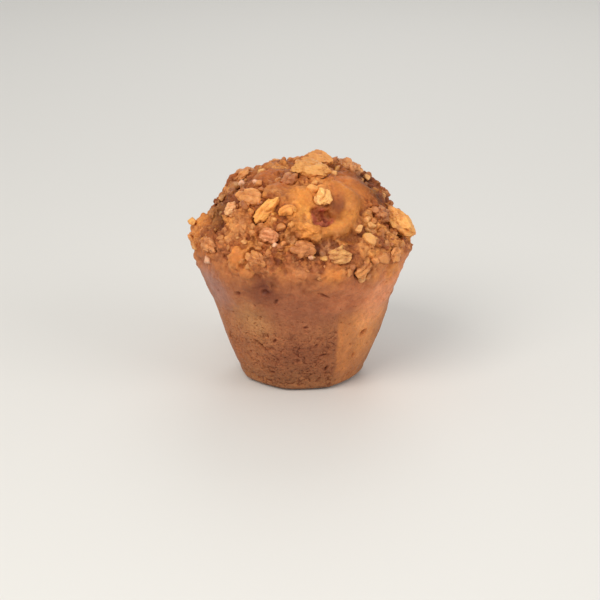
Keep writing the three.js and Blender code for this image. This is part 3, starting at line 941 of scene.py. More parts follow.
def crumb_skin():
    v, f = grid_skin()
    parts_v, parts_f, n = [v], [f], len(v)
    bv, bf = ball(3)
    lumps = lump_field()
    for i, (az, t, size, squash, spin) in enumerate(lumps):
        r, _ = chopped(bv, 900 + i, 8) if i % 3 else walnut(bv, 900 + i, 0.7, 0)
        flat = 0.5 + 0.3 * squash
        dims = np.array([size * 1.2, size * 0.85, size * flat])
        m, o = nut_matrix(az, t, dims[2], spin, 0.74)
        parts_v.append(fitted(bv * r[:, None], dims) @ m.T + o)
        parts_f.append(bf + n)
        n += len(bv)
    ob = new_object("crumb_skin", np.vstack(parts_v), np.vstack(parts_f))
    with_modifier(ob, "REMESH", mode="VOXEL", voxel_size=VOXEL, adaptivity=0)
    me = ob.data
    v = verts_of(me)
    e = edges_of(me)
    v = settle(v, e, 2)
    set_verts(me, v)
    n = normals_of(me)

    r = np.hypot(v[:, 0], v[:, 1])
    az = np.degrees(np.arctan2(v[:, 0], -v[:, 1]))
    z = v[:, 2]
    top = smooth(42, 51, z)
    caramel = caramel_mask(v) * smooth(43, 50, z)
    foot = smooth(0.2, 2.5, z)
    line = z - line_height(az)
    base = 1 - smooth(-3, 3, line)
    collar = (1 - base) * (1 - top)
    d = np.zeros(len(v))

    # crumble: fused crumbs of three sizes with tilted faces
    rim = smooth(48.5, 59, z + 4.6 * noise(v, 7, 45))
    crown = top > 0.03
    vc = v[crown]
    warp = 2.0 * noise3(vc, 3.6, 101) + 1.0 * noise3(vc, 1.5, 105)
    height, edge, cell = cells(v, crown, 430, 5, 1.7, warp, 1.3, 0.21, 4.0)
    warp = 0.9 * noise3(vc, 1.8, 111) + 0.5 * noise3(vc, 0.8, 115)
    height2, edge2, cell2 = cells(v, crown, 2300, 6, 0.8, warp, 0.50, 0.24, 7.0)
    rough = (0.2 * top + 0.8 * rim) * (1 - 0.88 * caramel)
    gap = smooth(-0.1, 0.25, noise(v, 4.0, 119))
    near = nearness(v)
    d += rough * (
        height
        - 0.75
        - 0.75 * smooth(0.8, 3.4, near)
        - 0.50 * gap * np.exp(-((edge / 0.38) ** 2))
        + height2
        - 0.25
        - 0.12 * np.exp(-((edge2 / 0.25) ** 2))
    )
    q = v + 0.8 * noise3(v, 2.6, 121)
    crag = 0.55 - np.abs(noise(q, 2.9, 125)) * 2.2
    crag2 = 0.5 - np.abs(noise(q, 1.45, 126)) * 2.0
    crag3 = 0.5 - np.abs(noise(q, 0.8, 127)) * 2.0
    puff = np.abs(noise(q, 2.2, 128)) * 2.0 - 0.5
    d += rough * (0.40 * fbm(v, 5.0, 2, 1) + 0.40 * crag + 0.22 * crag2 + 0.10 * crag3 + 0.35 * puff)
    d += top * caramel * (0.42 * noise(v, 6.0, 31) + 0.24 * noise(v, 2.4, 32) + 0.08 * noise(v, 0.9, 33))
    lip = along_line(v, lip_at, 3.0) * top
    d += lip * (1 - in_pit(v, 1.2)) * (0.8 * noise(v, 5.2, 35) + 0.75 * noise(v, 2.6, 34) + 0.3 * crag2 + 0.2 * crag3 - 0.15)
    hole = in_pit(v, 0.6)
    d += hole * (0.9 * noise(v, 2.8, 44) + 0.35 * crag2 + 0.2 * crag3)
    swell = smooth(40, 47, z) * (1 - smooth(56, 62, z))
    d += swell * (1.3 * noise(v, 6.8, 36) + 0.8 * noise(v, 3.1, 37) + 0.32 * noise(v, 1.5, 46))
    # the dough that climbed the nuts, and the crack beside each
    part = smooth(-0.25, 0.2, noise(v, 3.2, 38))
    d += top * (
        0.6 * part * np.exp(-(((near - 1.2) / 0.9) ** 2))
        - (0.05 + 0.25 * part) * np.exp(-(((near - 0.2) / 0.4) ** 2))
    )
    d = np.clip(d, -1.9 - 0.4 * noise(v, 1.5, 39), 1.7 + 0.5 * noise(v, 1.8, 47))
    # the collar: long soft wrinkles, a few pits
    w = v * np.array([1, 1, 1.9])
    d += collar * (0.55 * noise(w, 7.5, 41) + 0.30 * noise(w, 2.8, 42) + 0.10 * noise(v, 1.1, 43))
    # the base: tight crumb, torn here and there
    patch = porous(az, z)
    wv = v + 1.1 * noise3(v, 2.4, 51)
    d += base * (0.22 * noise(v, 4.2, 55) + (0.07 + 0.22 * patch) * noise(v, 1.2, 56))
    crease = np.exp(-(((az - 25.9 + 0.17 * (z - 20)) / 2.0) ** 2)) * smooth(5, 10, z) * (1 - smooth(30, 40, z))
    d -= 0.35 * crease
    fissure = smooth(0.55, 0.95, ridged(wv * np.array([1, 1, 1.3]), 3.0, 57)) * smooth(-0.05, 0.22, noise(v, 4.5, 58))
    torn = np.clip(fissure * patch * base * smooth(0.3, 0.7, patch), 0, 1)
    d -= 0.5 * torn
    pores = np.zeros(len(v))
    tree = tree_of(v)
    rng = np.random.default_rng(33)
    made = 0
    for s in rng.permutation(len(v)):
        if made >= 620:
            break
        if z[s] < 1.2 or z[s] > 47:
            continue
        wish = (0.12 + 0.88 * patch[s]) if base[s] > 0.5 else 0.10 * (1 - top[s])
        if rng.random() > wish:
            continue
        rad = 0.20 + 0.30 * rng.random() ** 2.2
        tilt = rng.uniform(0, math.pi)
        long_ = rng.uniform(1, 2.3)
        deep = 0.5 + 0.5 * rng.random()
        made += 1
        sin, cos = math.sin(tilt), math.cos(tilt)
        o = v[s]
        u = np.array([math.cos(az[s] * RAD), math.sin(az[s] * RAD), 0])
        for c, i, dist in tree.find_range(Vector(o), rad * long_ * 1.4):
            q = np.array(c) - o
            x, y = q @ u, q[2]
            k = math.hypot((x * cos + y * sin) / long_, -x * sin + y * cos) / rad
            if k < 1.5:
                pores[i] = max(pores[i], deep * math.exp(-((k / 0.8) ** 3)))
    d -= pores * 0.55
    for a, zz, half, wide, tilt, deep in TEARS:
        j = int(
            np.argmin((((az - a + 180) % 360 - 180) * 0.55) ** 2 + (z - zz) ** 2 + np.where(r < 20, 99, 0))
        )
        u = np.array([math.cos(a * RAD), math.sin(a * RAD), 0])
        q = v - v[j]
        x, y = q @ u, q[:, 2]
        x = x + 0.35 * noise(v, 1.6, 59)
        sin, cos = math.sin(tilt * RAD), math.cos(tilt * RAD)
        k = np.sqrt(((x * cos + y * sin) / half) ** 2 + ((-x * sin + y * cos) / wide) ** 2)
        g = np.where((q**2).sum(-1) < 30, np.exp(-(k**3)), 0)
        d -= deep * g
        d += 0.18 * np.where((q**2).sum(-1) < 30, np.exp(-(((k - 1.6) / 0.4) ** 2)), 0)
        pores = np.maximum(pores, g)
    v = v + n * (d * foot)[:, None]
    v[:, 2] = np.maximum(v[:, 2], 0)
    v = relax(v, e, 1, 0.2)
    set_verts(me, v)
    n = normals_of(me)
    near_v = relax(v, e, 6, 0.6)
    far_v = relax(near_v, e, 44, 0.6)
    cav = np.clip(((v - near_v) * n).sum(-1) / 0.22, -1, 1)
    deep = np.clip(((v - far_v) * n).sum(-1) / 0.9, -1, 1)
    crack = np.maximum(np.exp(-((edge / 0.42) ** 2)), 0.6 * np.exp(-((edge2 / 0.3) ** 2))) * rough
    crack = np.maximum(crack, top * np.exp(-(((near - 0.3) / 0.5) ** 2)))
    put(me, "pore", np.clip(pores + 0.6 * torn, 0, 1))
    put(me, "cav", cav)
    put(me, "deep", deep)
    put(me, "crack", crack)
    put(me, "caramel", caramel)
    put(me, "rough", rough)
    put(me, "base", base)
    put(me, "patch", patch * base)
    put(me, "tint", crust_tint(v, rough, cell, cell2))
    set_verts(me, v * MM)
    tris = sum(len(p.vertices) - 2 for p in me.polygons)
    if tris > SKIN_TRIS:
        with_modifier(ob, "DECIMATE", decimate_type="COLLAPSE", ratio=SKIN_TRIS / tris)
    ob.data.shade_smooth()
    return ob


# ---------------------------------------------------------------- colours
# crust colours by height, sRGB
BANDS = [
    (0.0, (160, 108, 70)),
    (5.0, (162, 108, 68)),
    (14.0, (168, 108, 67)),
    (27.0, (172, 112, 72)),
    (36.0, (168, 106, 72)),
    (43.0, (172, 108, 70)),
    (50.0, (188, 120, 70)),
    (62.0, (184, 114, 60)),
    (74.0, (186, 114, 56)),
    (84.0, (188, 118, 58)),
]
# named areas of the crust: azimuth, place, radius mm, colour, strength; the areas marked below as painted shade stand
# in for shade in hollows and gaps
AREAS = [
    ("porous front", -4, 0.275, 14, (146, 88, 59), 0.9),
    ("bottom band", -4, 0.20, 10, (150, 102, 64), 0.5),
    ("right flat", 55, 0.30, 11, (198, 131, 74), 0.95),
    ("right flat foot", 46, 0.225, 7, (192, 124, 74), 0.7),
    ("right flat top", 52, 0.41, 10.5, (234, 158, 94), 1.0),
    ("left flat", -34, 0.41, 9, (188, 134, 86), 0.9),
    ("left flat low", -52, 0.33, 9, (174, 114, 74), 0.6),
    ("left edge low", -60, 0.27, 7, (162, 96, 60), 0.5),
    ("collar left", -62, 0.49, 9, (174, 130, 118), 0.9),
    ("collar left side", -84, 0.46, 10, (176, 122, 98), 0.6),
    ("collar front", 0, 0.47, 12, (164, 101, 70), 0.85),
    # darker crust in the collar's recess, deepened as painted shade
    ("collar dark", -20, 0.53, 6.0, (124, 66, 44), 0.95),
    ("collar dark low", -25, 0.50, 4.5, (136, 78, 50), 0.7),
    ("collar right", 56, 0.485, 12, (234, 156, 112), 0.97),
    ("under the right rim", 68, 0.54, 8, (226, 148, 96), 0.8),
    ("collar right front", 26, 0.51, 9, (202, 126, 84), 0.8),
    # painted shade in the hollow inside the lip
    ("hollow", 36, 0.795, 6.8, (126, 67, 32), 1.0),
    ("hollow top", 32, 0.84, 6.0, (188, 108, 58), 0.8),
    ("bulge left of the pit", 1, 0.762, 5.4, (232, 160, 74), 1.0),
    ("lip low left", 2, 0.714, 4.2, (255, 176, 92), 0.95),
    ("bun", 2, 0.822, 5.0, (228, 148, 66), 0.95),
    ("above the pit", 18, 0.862, 5.5, (244, 176, 106), 0.9),
    ("top left lobe", -72, 0.89, 8, (202, 116, 54), 0.9),
    ("left lobe", -24, 0.85, 6.5, (184, 104, 52), 0.9),
    # dark left and dark left low: darker crust in the left hollow, deepened as painted shade
    ("dark left", -72, 0.735, 7.5, (122, 64, 36), 1.0),
    ("dark left low", -69, 0.705, 5.2, (96, 48, 28), 0.97),
    ("dark left edge", -90, 0.70, 6, (146, 82, 48), 0.75),
    ("upper left", -88, 0.80, 7, (156, 92, 54), 0.7),
    ("light lump left", -44, 0.71, 5.4, (240, 170, 106), 0.95),
    # painted shadow under the lip's left end
    ("under the lip left", -7, 0.69, 3.6, (140, 74, 46), 0.85),
    ("knob under the lip", 11, 0.687, 2.4, (176, 100, 56), 0.8),
    # painted shade in the gutter between the dome and the rim
    ("dark gutter", 9, 0.650, 3.6, (104, 66, 40), 0.97),
    ("grey gutter", 18, 0.668, 4.4, (220, 164, 118), 0.97),
    # painted shade in the gutter, right part
    ("dark gutter right", 28, 0.668, 4.0, (138, 82, 50), 0.85),
    ("tan lump right", 39, 0.650, 5.2, (236, 170, 106), 0.95),
    ("right dome", 58, 0.86, 8, (204, 120, 54), 0.9),
    # darker crust in the right hollow, deepened as painted shade
    ("dark right", 94, 0.805, 7.5, (128, 70, 42), 0.9),
    ("dark right front", 67, 0.786, 6.4, (74, 36, 19), 1.0),
    ("right dome low", 56, 0.79, 6, (216, 132, 62), 0.85),
    ("rim right", 54, 0.632, 5.5, (150, 86, 54), 0.75),
    ("orange lump", -36, 0.615, 5, (214, 126, 60), 0.95),
    ("left rim", -84, 0.64, 8.0, (224, 146, 72), 0.95),
    ("dark notch", -50, 0.605, 3.6, (174, 106, 68), 0.75),
    ("dark front", -11, 0.618, 4.4, (194, 120, 74), 0.8),
    ("front lump", 17.5, 0.582, 4.2, (226, 146, 74), 0.95),
    # dark gap, dark gap left and dark gap right: painted shade in the gaps between the rim's lumps
    ("dark gap", 30, 0.572, 2.6, (132, 72, 44), 0.85),
    ("dark gap left", 9, 0.578, 2.2, (140, 78, 48), 0.7),
    ("dark gap right", 50, 0.588, 2.4, (136, 76, 46), 0.7),
    ("front tan", 0.5, 0.580, 4.4, (198, 126, 76), 0.8),
    ("right rim gold", 56, 0.56, 5.5, (214, 138, 66), 0.85),
    # painted shade among the rim lumps, front right
    ("front right brown", 35, 0.575, 4.2, (138, 80, 48), 0.9),
    ("right rim tan", 42, 0.562, 3.6, (206, 134, 80), 0.9),
    ("back lobe", 150, 0.83, 9, (186, 112, 60), 0.7),
    ("back dark", -160, 0.72, 7, (140, 76, 48), 0.7),
    ("back gold", 175, 0.62, 8, (206, 132, 68), 0.7),
    ("back left gold", -120, 0.60, 7, (206, 130, 66), 0.7),
    ("back right dark", 125, 0.68, 6, (142, 80, 50), 0.7),
    ("back tan", 120, 0.40, 11, (190, 132, 84), 0.7),
    ("back flat", -135, 0.33, 12, (200, 134, 78), 0.7),
    ("back porous", 162, 0.27, 12, (142, 88, 58), 0.8),
    ("side porous", -100, 0.25, 8, (148, 92, 60), 0.6),
    ("back collar", -165, 0.48, 12, (160, 100, 70), 0.6),
]
lip_gold = linear((228, 154, 72))


def crust_tint(v, rough, cell, cell2):
    """Base colour of points v (mm), linear, with painted shade in some hollows, gaps and creases and on the upper
    crown's sides.
    """
    z = v[:, 2]
    heights = [b[0] for b in BANDS]
    cols = linear([b[1] for b in BANDS])
    wob = z + 3.0 * noise(v, 9, 61)
    c = np.stack([np.interp(wob, heights, cols[:, k]) for k in range(3)], -1)
    warp = v + 2.0 * noise3(v, 6, 62) + 0.8 * noise3(v, 2.2, 67)
    for _, a, t, w, rgb, s in AREAS:
        g = (s * np.exp(-((((warp - placed(a, t)) ** 2).sum(-1)) / (w * w)) ** 1.4))[:, None]
        c = c * (1 - g) + linear(rgb) * g
    g = 0.95 * np.minimum(1, along_line(warp, lip_at, 3.0))
    g = (g * (1 - 0.8 * gauss(v, placed(2, 0.714), 4.5)) * (1 - 0.5 * gauss(v, placed(37, 0.75), 5.0)))[:, None]
    c = c * (1 - g) + lip_gold * g
    az = np.degrees(np.arctan2(v[:, 0], -v[:, 1])) + 2.5 * noise(v, 5, 64)
    turn = 25.9 - 0.17 * (z - 20)
    side = smooth(-1.0, 1.5, az - turn) * smooth(5, 9, z) * (1 - smooth(28, 38, z))
    g = (0.55 * side * (1 - smooth(34, 48, az)))[:, None]
    c = c * (1 - g) + linear((208, 134, 74)) * g
    # painted shade beside the base's crease, on its front side
    g = (0.5 * (1 - side) * smooth(10, 20, az) * (1 - smooth(30, 40, az)) * (1 - smooth(26, 36, z)) * smooth(4, 9, z))[:, None]
    c = c * (1 - g) + linear((150, 92, 60)) * g
    g = in_pit(v + 0.7 * noise3(v, 2.0, 63))[:, None]
    c = c * (1 - g) + linear((184, 98, 74)) * g
    # painted shade: the upper crown darker on its left and right sides, where less light falls
    g = (np.exp(-(((np.abs(az) - 90) / 32) ** 2)) * smooth(60, 68, z))[:, None]
    c = c * (1 - g * np.array([0.24, 0.27, 0.27]))
    # each crumb of the crumble browned a little differently
    a = hash1(cell * 1.7 + 3)
    b = hash1(cell2 * 2.3 + 9)
    gold = linear((230, 162, 88))
    brown = linear((148, 82, 48))
    pale = linear((226, 170, 116))
    k = (rough * 0.75 * smooth(0.55, 0.95, a))[:, None]
    c = c * (1 - k) + gold * k
    k = (rough * 0.55 * smooth(0.45, 0.0, a))[:, None]
    c = c * (1 - k) + brown * k
    k = (rough * 0.55 * smooth(0.80, 1.0, b))[:, None]
    c = c * (1 - k) + pale * k
    k = (rough * 0.35 * smooth(0.3, 0.0, b))[:, None]
    c = c * (1 - k) + brown * k
    return c


skin = crumb_skin()
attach(skin, "root")
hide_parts("crumb")

skin_v = verts_of(skin.data) / MM
skin_n = normals_of(skin.data)
skin_tree = tree_of(skin_v)

# ---------------------------------------------------------------- the walnut nodes
# colour of each kernel piece, sRGB: flesh and skin
NUT_TINT = {
    "walnut_crown": ((226, 165, 92), (204, 136, 70)),
    "walnut_chunk": ((255, 200, 126), (232, 164, 88)),
    "walnut_crest_a": ((222, 156, 88), (188, 120, 64)),
    "walnut_crest_b": ((206, 142, 84), (176, 112, 62)),
    "walnut_crest_c": ((220, 158, 100), (182, 116, 66)),
    "walnut_lobed": ((196, 128, 78), (158, 92, 54)),
    "walnut_tan": ((230, 160, 92), (196, 124, 66)),
    "walnut_pale": ((246, 190, 134), (222, 154, 100)),
    "walnut_yellow": ((250, 184, 98), (228, 152, 70)),
    "walnut_gold": ((242, 168, 86), (218, 138, 62)),
    "walnut_right": ((244, 178, 98), (206, 132, 64)),
    "walnut_brown": ((198, 132, 80), (158, 92, 54)),
    "walnut_pink": ((238, 168, 118), (208, 136, 90)),
    "walnut_gutter": ((218, 148, 88), (184, 114, 64)),
    "walnut_front": ((228, 172, 104), (188, 124, 68)),
    "walnut_rim_a": ((230, 160, 100), (190, 120, 68)),
}
DEFAULT_TINT = ((226, 156, 88), (190, 118, 62))


def clinging(v, colours, share=0.8):
    """Colours of a piece at v (mm), browned like the crust where it meets it."""
    away = np.array([skin_tree.find(p)[2] for p in v])
    g = 1 - smooth(0.15, 1.3, away + 1.1 * noise(v, 2.2, 81) + 0.5 * noise(v, 0.9, 82))
    zero = np.zeros(len(v))
    g = (share * g)[:, None]
    return colours * (1 - g) + crust_tint(v, zero, zero, zero) * 0.95 * g


def dress(me, v, broken, flesh, hull, seed):
    """Colours of a kernel: pale flesh where it broke, brown skin elsewhere."""
    flesh, hull = linear(flesh), linear(hull)
    mott = smooth(-0.25, 0.35, noise(v, 2.6, seed % 61))
    amount = np.clip((1 - broken) * (0.25 + 0.65 * mott), 0, 1)[:, None]
    put(me, "tint", clinging(v, flesh * (1 - amount) + hull * amount))
    put(me, "broken", broken)
    e = edges_of(me)
    n = normals_of(me)
    near = relax(v, e, 8, 0.6)
    put(me, "cav", np.clip(((v - near) * n).sum(-1) / 0.2, -1, 1))


walnut_objects = []
for i, (name, az, t, length, width, thick, spin, sunk) in enumerate(NUTS):
    (m, o), half = NUT_PLACES[i]
    bv, bf = ball(4 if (length < 8.5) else 6 if length > 14 else 5)
    r, broken = walnut(bv, i + 1, 1.25, 5, SHAPED.get(name, ()))
    v = fitted(bv * r[:, None], half * 2) @ m.T + o
    ob = new_object(name + "_kernel", v * MM, bf)
    flesh, hull = NUT_TINT.get(name, DEFAULT_TINT)
    dress(ob.data, v, broken, flesh, hull, i + 1)
    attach(ob, "root")
    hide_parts(name)
    walnut_objects.append(ob)

# ---------------------------------------------------------------- chips and crumbs on the crown
low_corner = np.array(cad_box[0]) / MM - 0.4
high_corner = np.array(cad_box[1]) / MM + 0.4

PINK = ((236, 186, 152), (206, 148, 112))
PALE = ((240, 182, 114), (206, 138, 78))
OLIVE = ((236, 180, 102), (200, 136, 70))
GOLD = ((236, 168, 94), (208, 134, 66))
TAN = ((220, 150, 86), (180, 108, 58))
BROWN = ((186, 118, 72), (146, 84, 52))
# chips that the photograph shows: azimuth, place, length, width, height, spin, sunk, colour
CHIPS = [
    (-97, 0.878, 5.4, 4.2, 4.0, 10, 0.3, OLIVE),
    (-84, 0.827, 3.4, 2.8, 2.4, 0, 0.35, PINK),
    (-97, 0.762, 4.4, 3.4, 3.0, 40, 0.65, TAN),
    (-94, 0.742, 3.2, 2.6, 2.4, 0, 0.6, PALE),
    (-42, 0.764, 4.2, 3.2, 2.8, 20, 0.4, TAN),
    (-33, 0.779, 2.8, 2.0, 2.0, 50, 0.3, PINK),
    (-36, 0.755, 3.2, 2.2, 2.2, -30, 0.4, GOLD),
    (-17, 0.742, 3.0, 2.4, 2.2, 0, 0.4, GOLD),
    (10, 0.836, 5.4, 3.6, 3.2, 10, 0.4, GOLD),
    (4.5, 0.640, 2.6, 2.2, 2.0, 0, 0.35, PINK),
    (12, 0.618, 3.2, 2.2, 2.0, -20, 0.45, OLIVE),
    (23.5, 0.648, 3.2, 2.2, 2.0, 30, 0.45, OLIVE),
    (38.5, 0.698, 4.8, 3.2, 2.8, 10, 0.45, PALE),
    (45, 0.699, 4.2, 2.8, 2.4, -20, 0.45, PALE),
    (50, 0.705, 3.0, 2.2, 2.0, 30, 0.45, TAN),
    (46, 0.62, 3.2, 2.6, 2.2, 20, 0.45, TAN),
    (60, 0.583, 3.8, 2.8, 2.6, 0, 0.4, PINK),
    (-60, 0.577, 4.4, 3.4, 2.8, 0, 0.4, PINK),
    (-86, 0.640, 4.4, 3.4, 2.6, 20, 0.45, OLIVE),
    (-15.5, 0.672, 3.4, 2.6, 2.4, 0, 0.3, PINK),
    (-9.5, 0.675, 2.8, 2.2, 2.0, 40, 0.4, TAN),
    (-11, 0.722, 4.6, 3.4, 2.6, 15, 0.45, TAN),
    (-5, 0.722, 3.4, 2.6, 2.4, 60, 0.45, GOLD),
    (-31, 0.70, 3.2, 2.6, 2.4, 0, 0.4, TAN),
    (-13, 0.652, 3.2, 2.4, 2.2, 30, 0.45, BROWN),
    (-17, 0.645, 3.0, 2.4, 2.0, 80, 0.45, TAN),
    (-33, 0.655, 3.2, 2.6, 2.2, 0, 0.45, PALE),
    (-52, 0.655, 3.8, 3.0, 2.6, 10, 0.45, TAN),
    (99, 0.81, 3.8, 3.0, 2.6, 0, 0.35, PALE),
    (84, 0.757, 3.6, 2.8, 2.4, 0, 0.4, PALE),
    (70, 0.70, 4.2, 3.0, 2.6, 40, 0.4, TAN),
    (68, 0.612, 3.6, 2.8, 2.4, 0, 0.4, TAN),
    (27, 0.59, 3.2, 2.4, 2.2, 0, 0.45, BROWN),
    (33, 0.545, 3.4, 2.4, 2.0, 15, 0.45, PALE),
    (37.5, 0.553, 2.8, 2.0, 1.8, 50, 0.45, TAN),
    (41, 0.60, 3.8, 2.8, 2.4, -30, 0.45, TAN),
    (-62, 0.845, 3.6, 2.8, 2.4, 0, 0.4, PINK),
    (-50, 0.84, 4.2, 3.0, 2.4, 30, 0.45, TAN),
    (-30, 0.92, 4.0, 3.2, 2.6, 0, 0.45, TAN),
    (55, 0.93, 4.4, 3.2, 2.8, 30, 0.4, GOLD),
    (70, 0.90, 4.0, 3.2, 2.6, 0, 0.4, PALE),
]


# places that the photograph shows bare: azimuth, place, radius
CLEAR = [
    (2, 0.765, 6.0),
    (1, 0.80, 5.5),
    (27, 0.786, 8.0),
    (-24, 0.85, 5.0),
    (-72, 0.89, 6.5),
    (58, 0.86, 7.0),
    (62, 0.80, 6.5),
    (78, 0.83, 6.5),
    (-42, 0.70, 4.5),
    (-80, 0.73, 5.5),
    (-90, 0.655, 5.0),
    (-101, 0.65, 5.5),
    (-97, 0.60, 5.0),
    (-88, 0.57, 4.5),
    (96, 0.60, 4.0),
    (37, 0.645, 4.0),
    (69, 0.79, 5.5),
    (9, 0.650, 4.0),
    (27, 0.668, 4.0),
    (30, 0.55, 3.0),
    (-44, 0.71, 4.5),
    (-76, 0.65, 5.0),
]
clear_at = [(placed(a, t), w) for a, t, w in CLEAR]


def scatter(count, seed, spacing):
    """Indices of skin points for loose crumbs, kept apart by about their size."""
    rng = np.random.default_rng(seed)
    weight = crown_weight(skin_v)
    weight = weight / weight.sum()
    order = rng.choice(len(skin_v), size=min(len(skin_v), count * 14), replace=False, p=weight)
    grid, out = {}, []
    for i in order:
        p = skin_v[i]
        key = tuple(np.floor(p / spacing).astype(int))
        if any(
            np.sum((skin_v[j] - p) ** 2) < spacing * spacing
            for dx in (-1, 0, 1)
            for dy in (-1, 0, 1)
            for dz in (-1, 0, 1)
            for j in grid.get((key[0] + dx, key[1] + dy, key[2] + dz), ())
        ):
            continue
        grid.setdefault(key, []).append(i)
        out.append(i)
        if len(out) >= count:
            break
    return out, rng


def crown_weight(v):
    z = v[:, 2]
    w = smooth(50, 57, z)
    w *= np.clip(1 - 1.05 * caramel_mask(v), 0, 1)
    w *= 1 - in_pit(v, 1.5)
    w *= np.clip(1 - 1.6 * along_line(v, lip_at, 3.6), 0, 1)
    for c, r in clear_at:
        w *= np.clip(1 - 1.3 * gauss(v, c, r), 0, 1)
    w *= smooth(0.1, 1.2, nearness(v))
    clump = smooth(-0.2, 0.3, noise(v, 8, 71))
    return w * (0.2 + 0.8 * clump) + 1e-12


def kept_in(v):
    """Moves a chip inwards if it would stick out of the part's box."""
    over = np.maximum(v.max(0) - high_corner, 0) - np.maximum(low_corner - v.min(0), 0)
    return v - over


def chips(name, rows, level):
    """One joined mesh from (shape, place, colours, shade) rows."""
    vs, fs, cs, bs, total = [], [], [], [], 0
    bv, bf = ball(level)
    for r, broken, dims, m, o, flesh, hull, shade, peel in rows:
        v = kept_in(fitted(bv * r[:, None], dims) @ m.T + o)
        mott = ((1 - broken) * peel)[:, None]
        cs.append((flesh * (1 - mott) + hull * mott) * shade)
        vs.append(v)
        bs.append(broken)
        fs.append(bf + total)
        total += len(bv)
    v = np.vstack(vs)
    ob = new_object(name, v * MM, np.vstack(fs))
    put(ob.data, "tint", clinging(v, np.vstack(cs), 0.7))
    put(ob.data, "broken", np.concatenate(bs))
    e = edges_of(ob.data)
    n = normals_of(ob.data)
    near = relax(v, e, 4, 0.6)
    put(ob.data, "cav", np.clip(((v - near) * n).sum(-1) / 0.16, -1, 1))
    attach(ob, "root")
    return ob


def seat(i, rng, height, sink, tip=0.3):
    n = skin_n[i] / np.linalg.norm(skin_n[i])
    axis = n + tip * rng.normal(size=3)
    axis /= np.linalg.norm(axis)
    x = np.cross(axis, rng.normal(size=3))
    x /= np.linalg.norm(x)
    return np.stack([x, np.cross(axis, x), axis], 1), skin_v[i] + n * height * (0.5 - sink)


LEVEL = 3
rows = []
ball_v = ball(LEVEL)[0]
for k, (az, t, le, wi, th, spin, sunk, tint) in enumerate(CHIPS):
    p, along, up, n = local_frame(az, t)
    # sit on the finished skin
    best = max((Vector(c) for c, i, d in skin_tree.find_n(p + n * 0.5, 12)), key=lambda c: c @ Vector(n))
    o = np.array(best)
    x = along * math.cos(spin * RAD) + up * math.sin(spin * RAD)
    m = np.stack([x, np.cross(n, x), n], 1)
    r, broken = chopped(ball_v, 3000 + k, 7 + k % 3, 1.9)
    rows.append((r, broken, (le, wi, th), m, o + n * th * (0.5 - sunk - 0.2), linear(tint[0]), linear(tint[1]), 1.0, 0.8))
where, rng = scatter(80, 3, 4.2)
families = [TAN, GOLD, PALE, BROWN, TAN, OLIVE]
for k, i in enumerate(where):
    size = 2.6 + 3.2 * rng.random() ** 1.8
    dims = size * np.array([1.15, 0.85, 0.66 + 0.2 * rng.random()])
    m, o = seat(i, rng, dims[2], 0.58)
    r, broken = walnut(ball_v, 2000 + k, 1.0, 2) if k % 4 == 0 else chopped(ball_v, 2000 + k, 7 + k % 3, 1.5)
    tint = families[rng.integers(len(families))]
    own = crust_tint(skin_v[i : i + 1], np.zeros(1), np.zeros(1), np.zeros(1))[0] * 1.1
    mix = 0.45 + 0.4 * rng.random()
    flesh = own * (1 - mix) + linear(tint[0]) * mix
    hull = own * 0.8 * (1 - mix) + linear(tint[1]) * mix
    rows.append((r, broken, dims, m, o, flesh, hull, 0.85 + 0.25 * rng.random(), 0.9))
bits = chips("walnut_chips", rows, LEVEL)

rows = []
ball_v = ball(3)[0]
where, rng = scatter(190, 4, 2.2)
for k, i in enumerate(where):
    size = 1.2 + 1.7 * rng.random() ** 1.6
    dims = size * np.array([1.1 + 0.3 * rng.random(), 0.9, 0.6 + 0.25 * rng.random()])
    m, o = seat(i, rng, dims[2], 0.54, 0.5)
    r, broken = chopped(ball_v, 5000 + k, 6, 1.6)
    own = crust_tint(skin_v[i : i + 1], np.zeros(1), np.zeros(1), np.zeros(1))[0]
    tint = families[rng.integers(len(families))]
    mix = 0.25 + 0.55 * rng.random()
    flesh = own * 1.15 * (1 - mix) + linear(tint[0]) * mix
    rows.append((r, broken, dims, m, o, flesh, flesh * 0.75, 0.8 + 0.35 * rng.random(), 0.8))
bits2 = chips("crumble_bits", rows, 3)


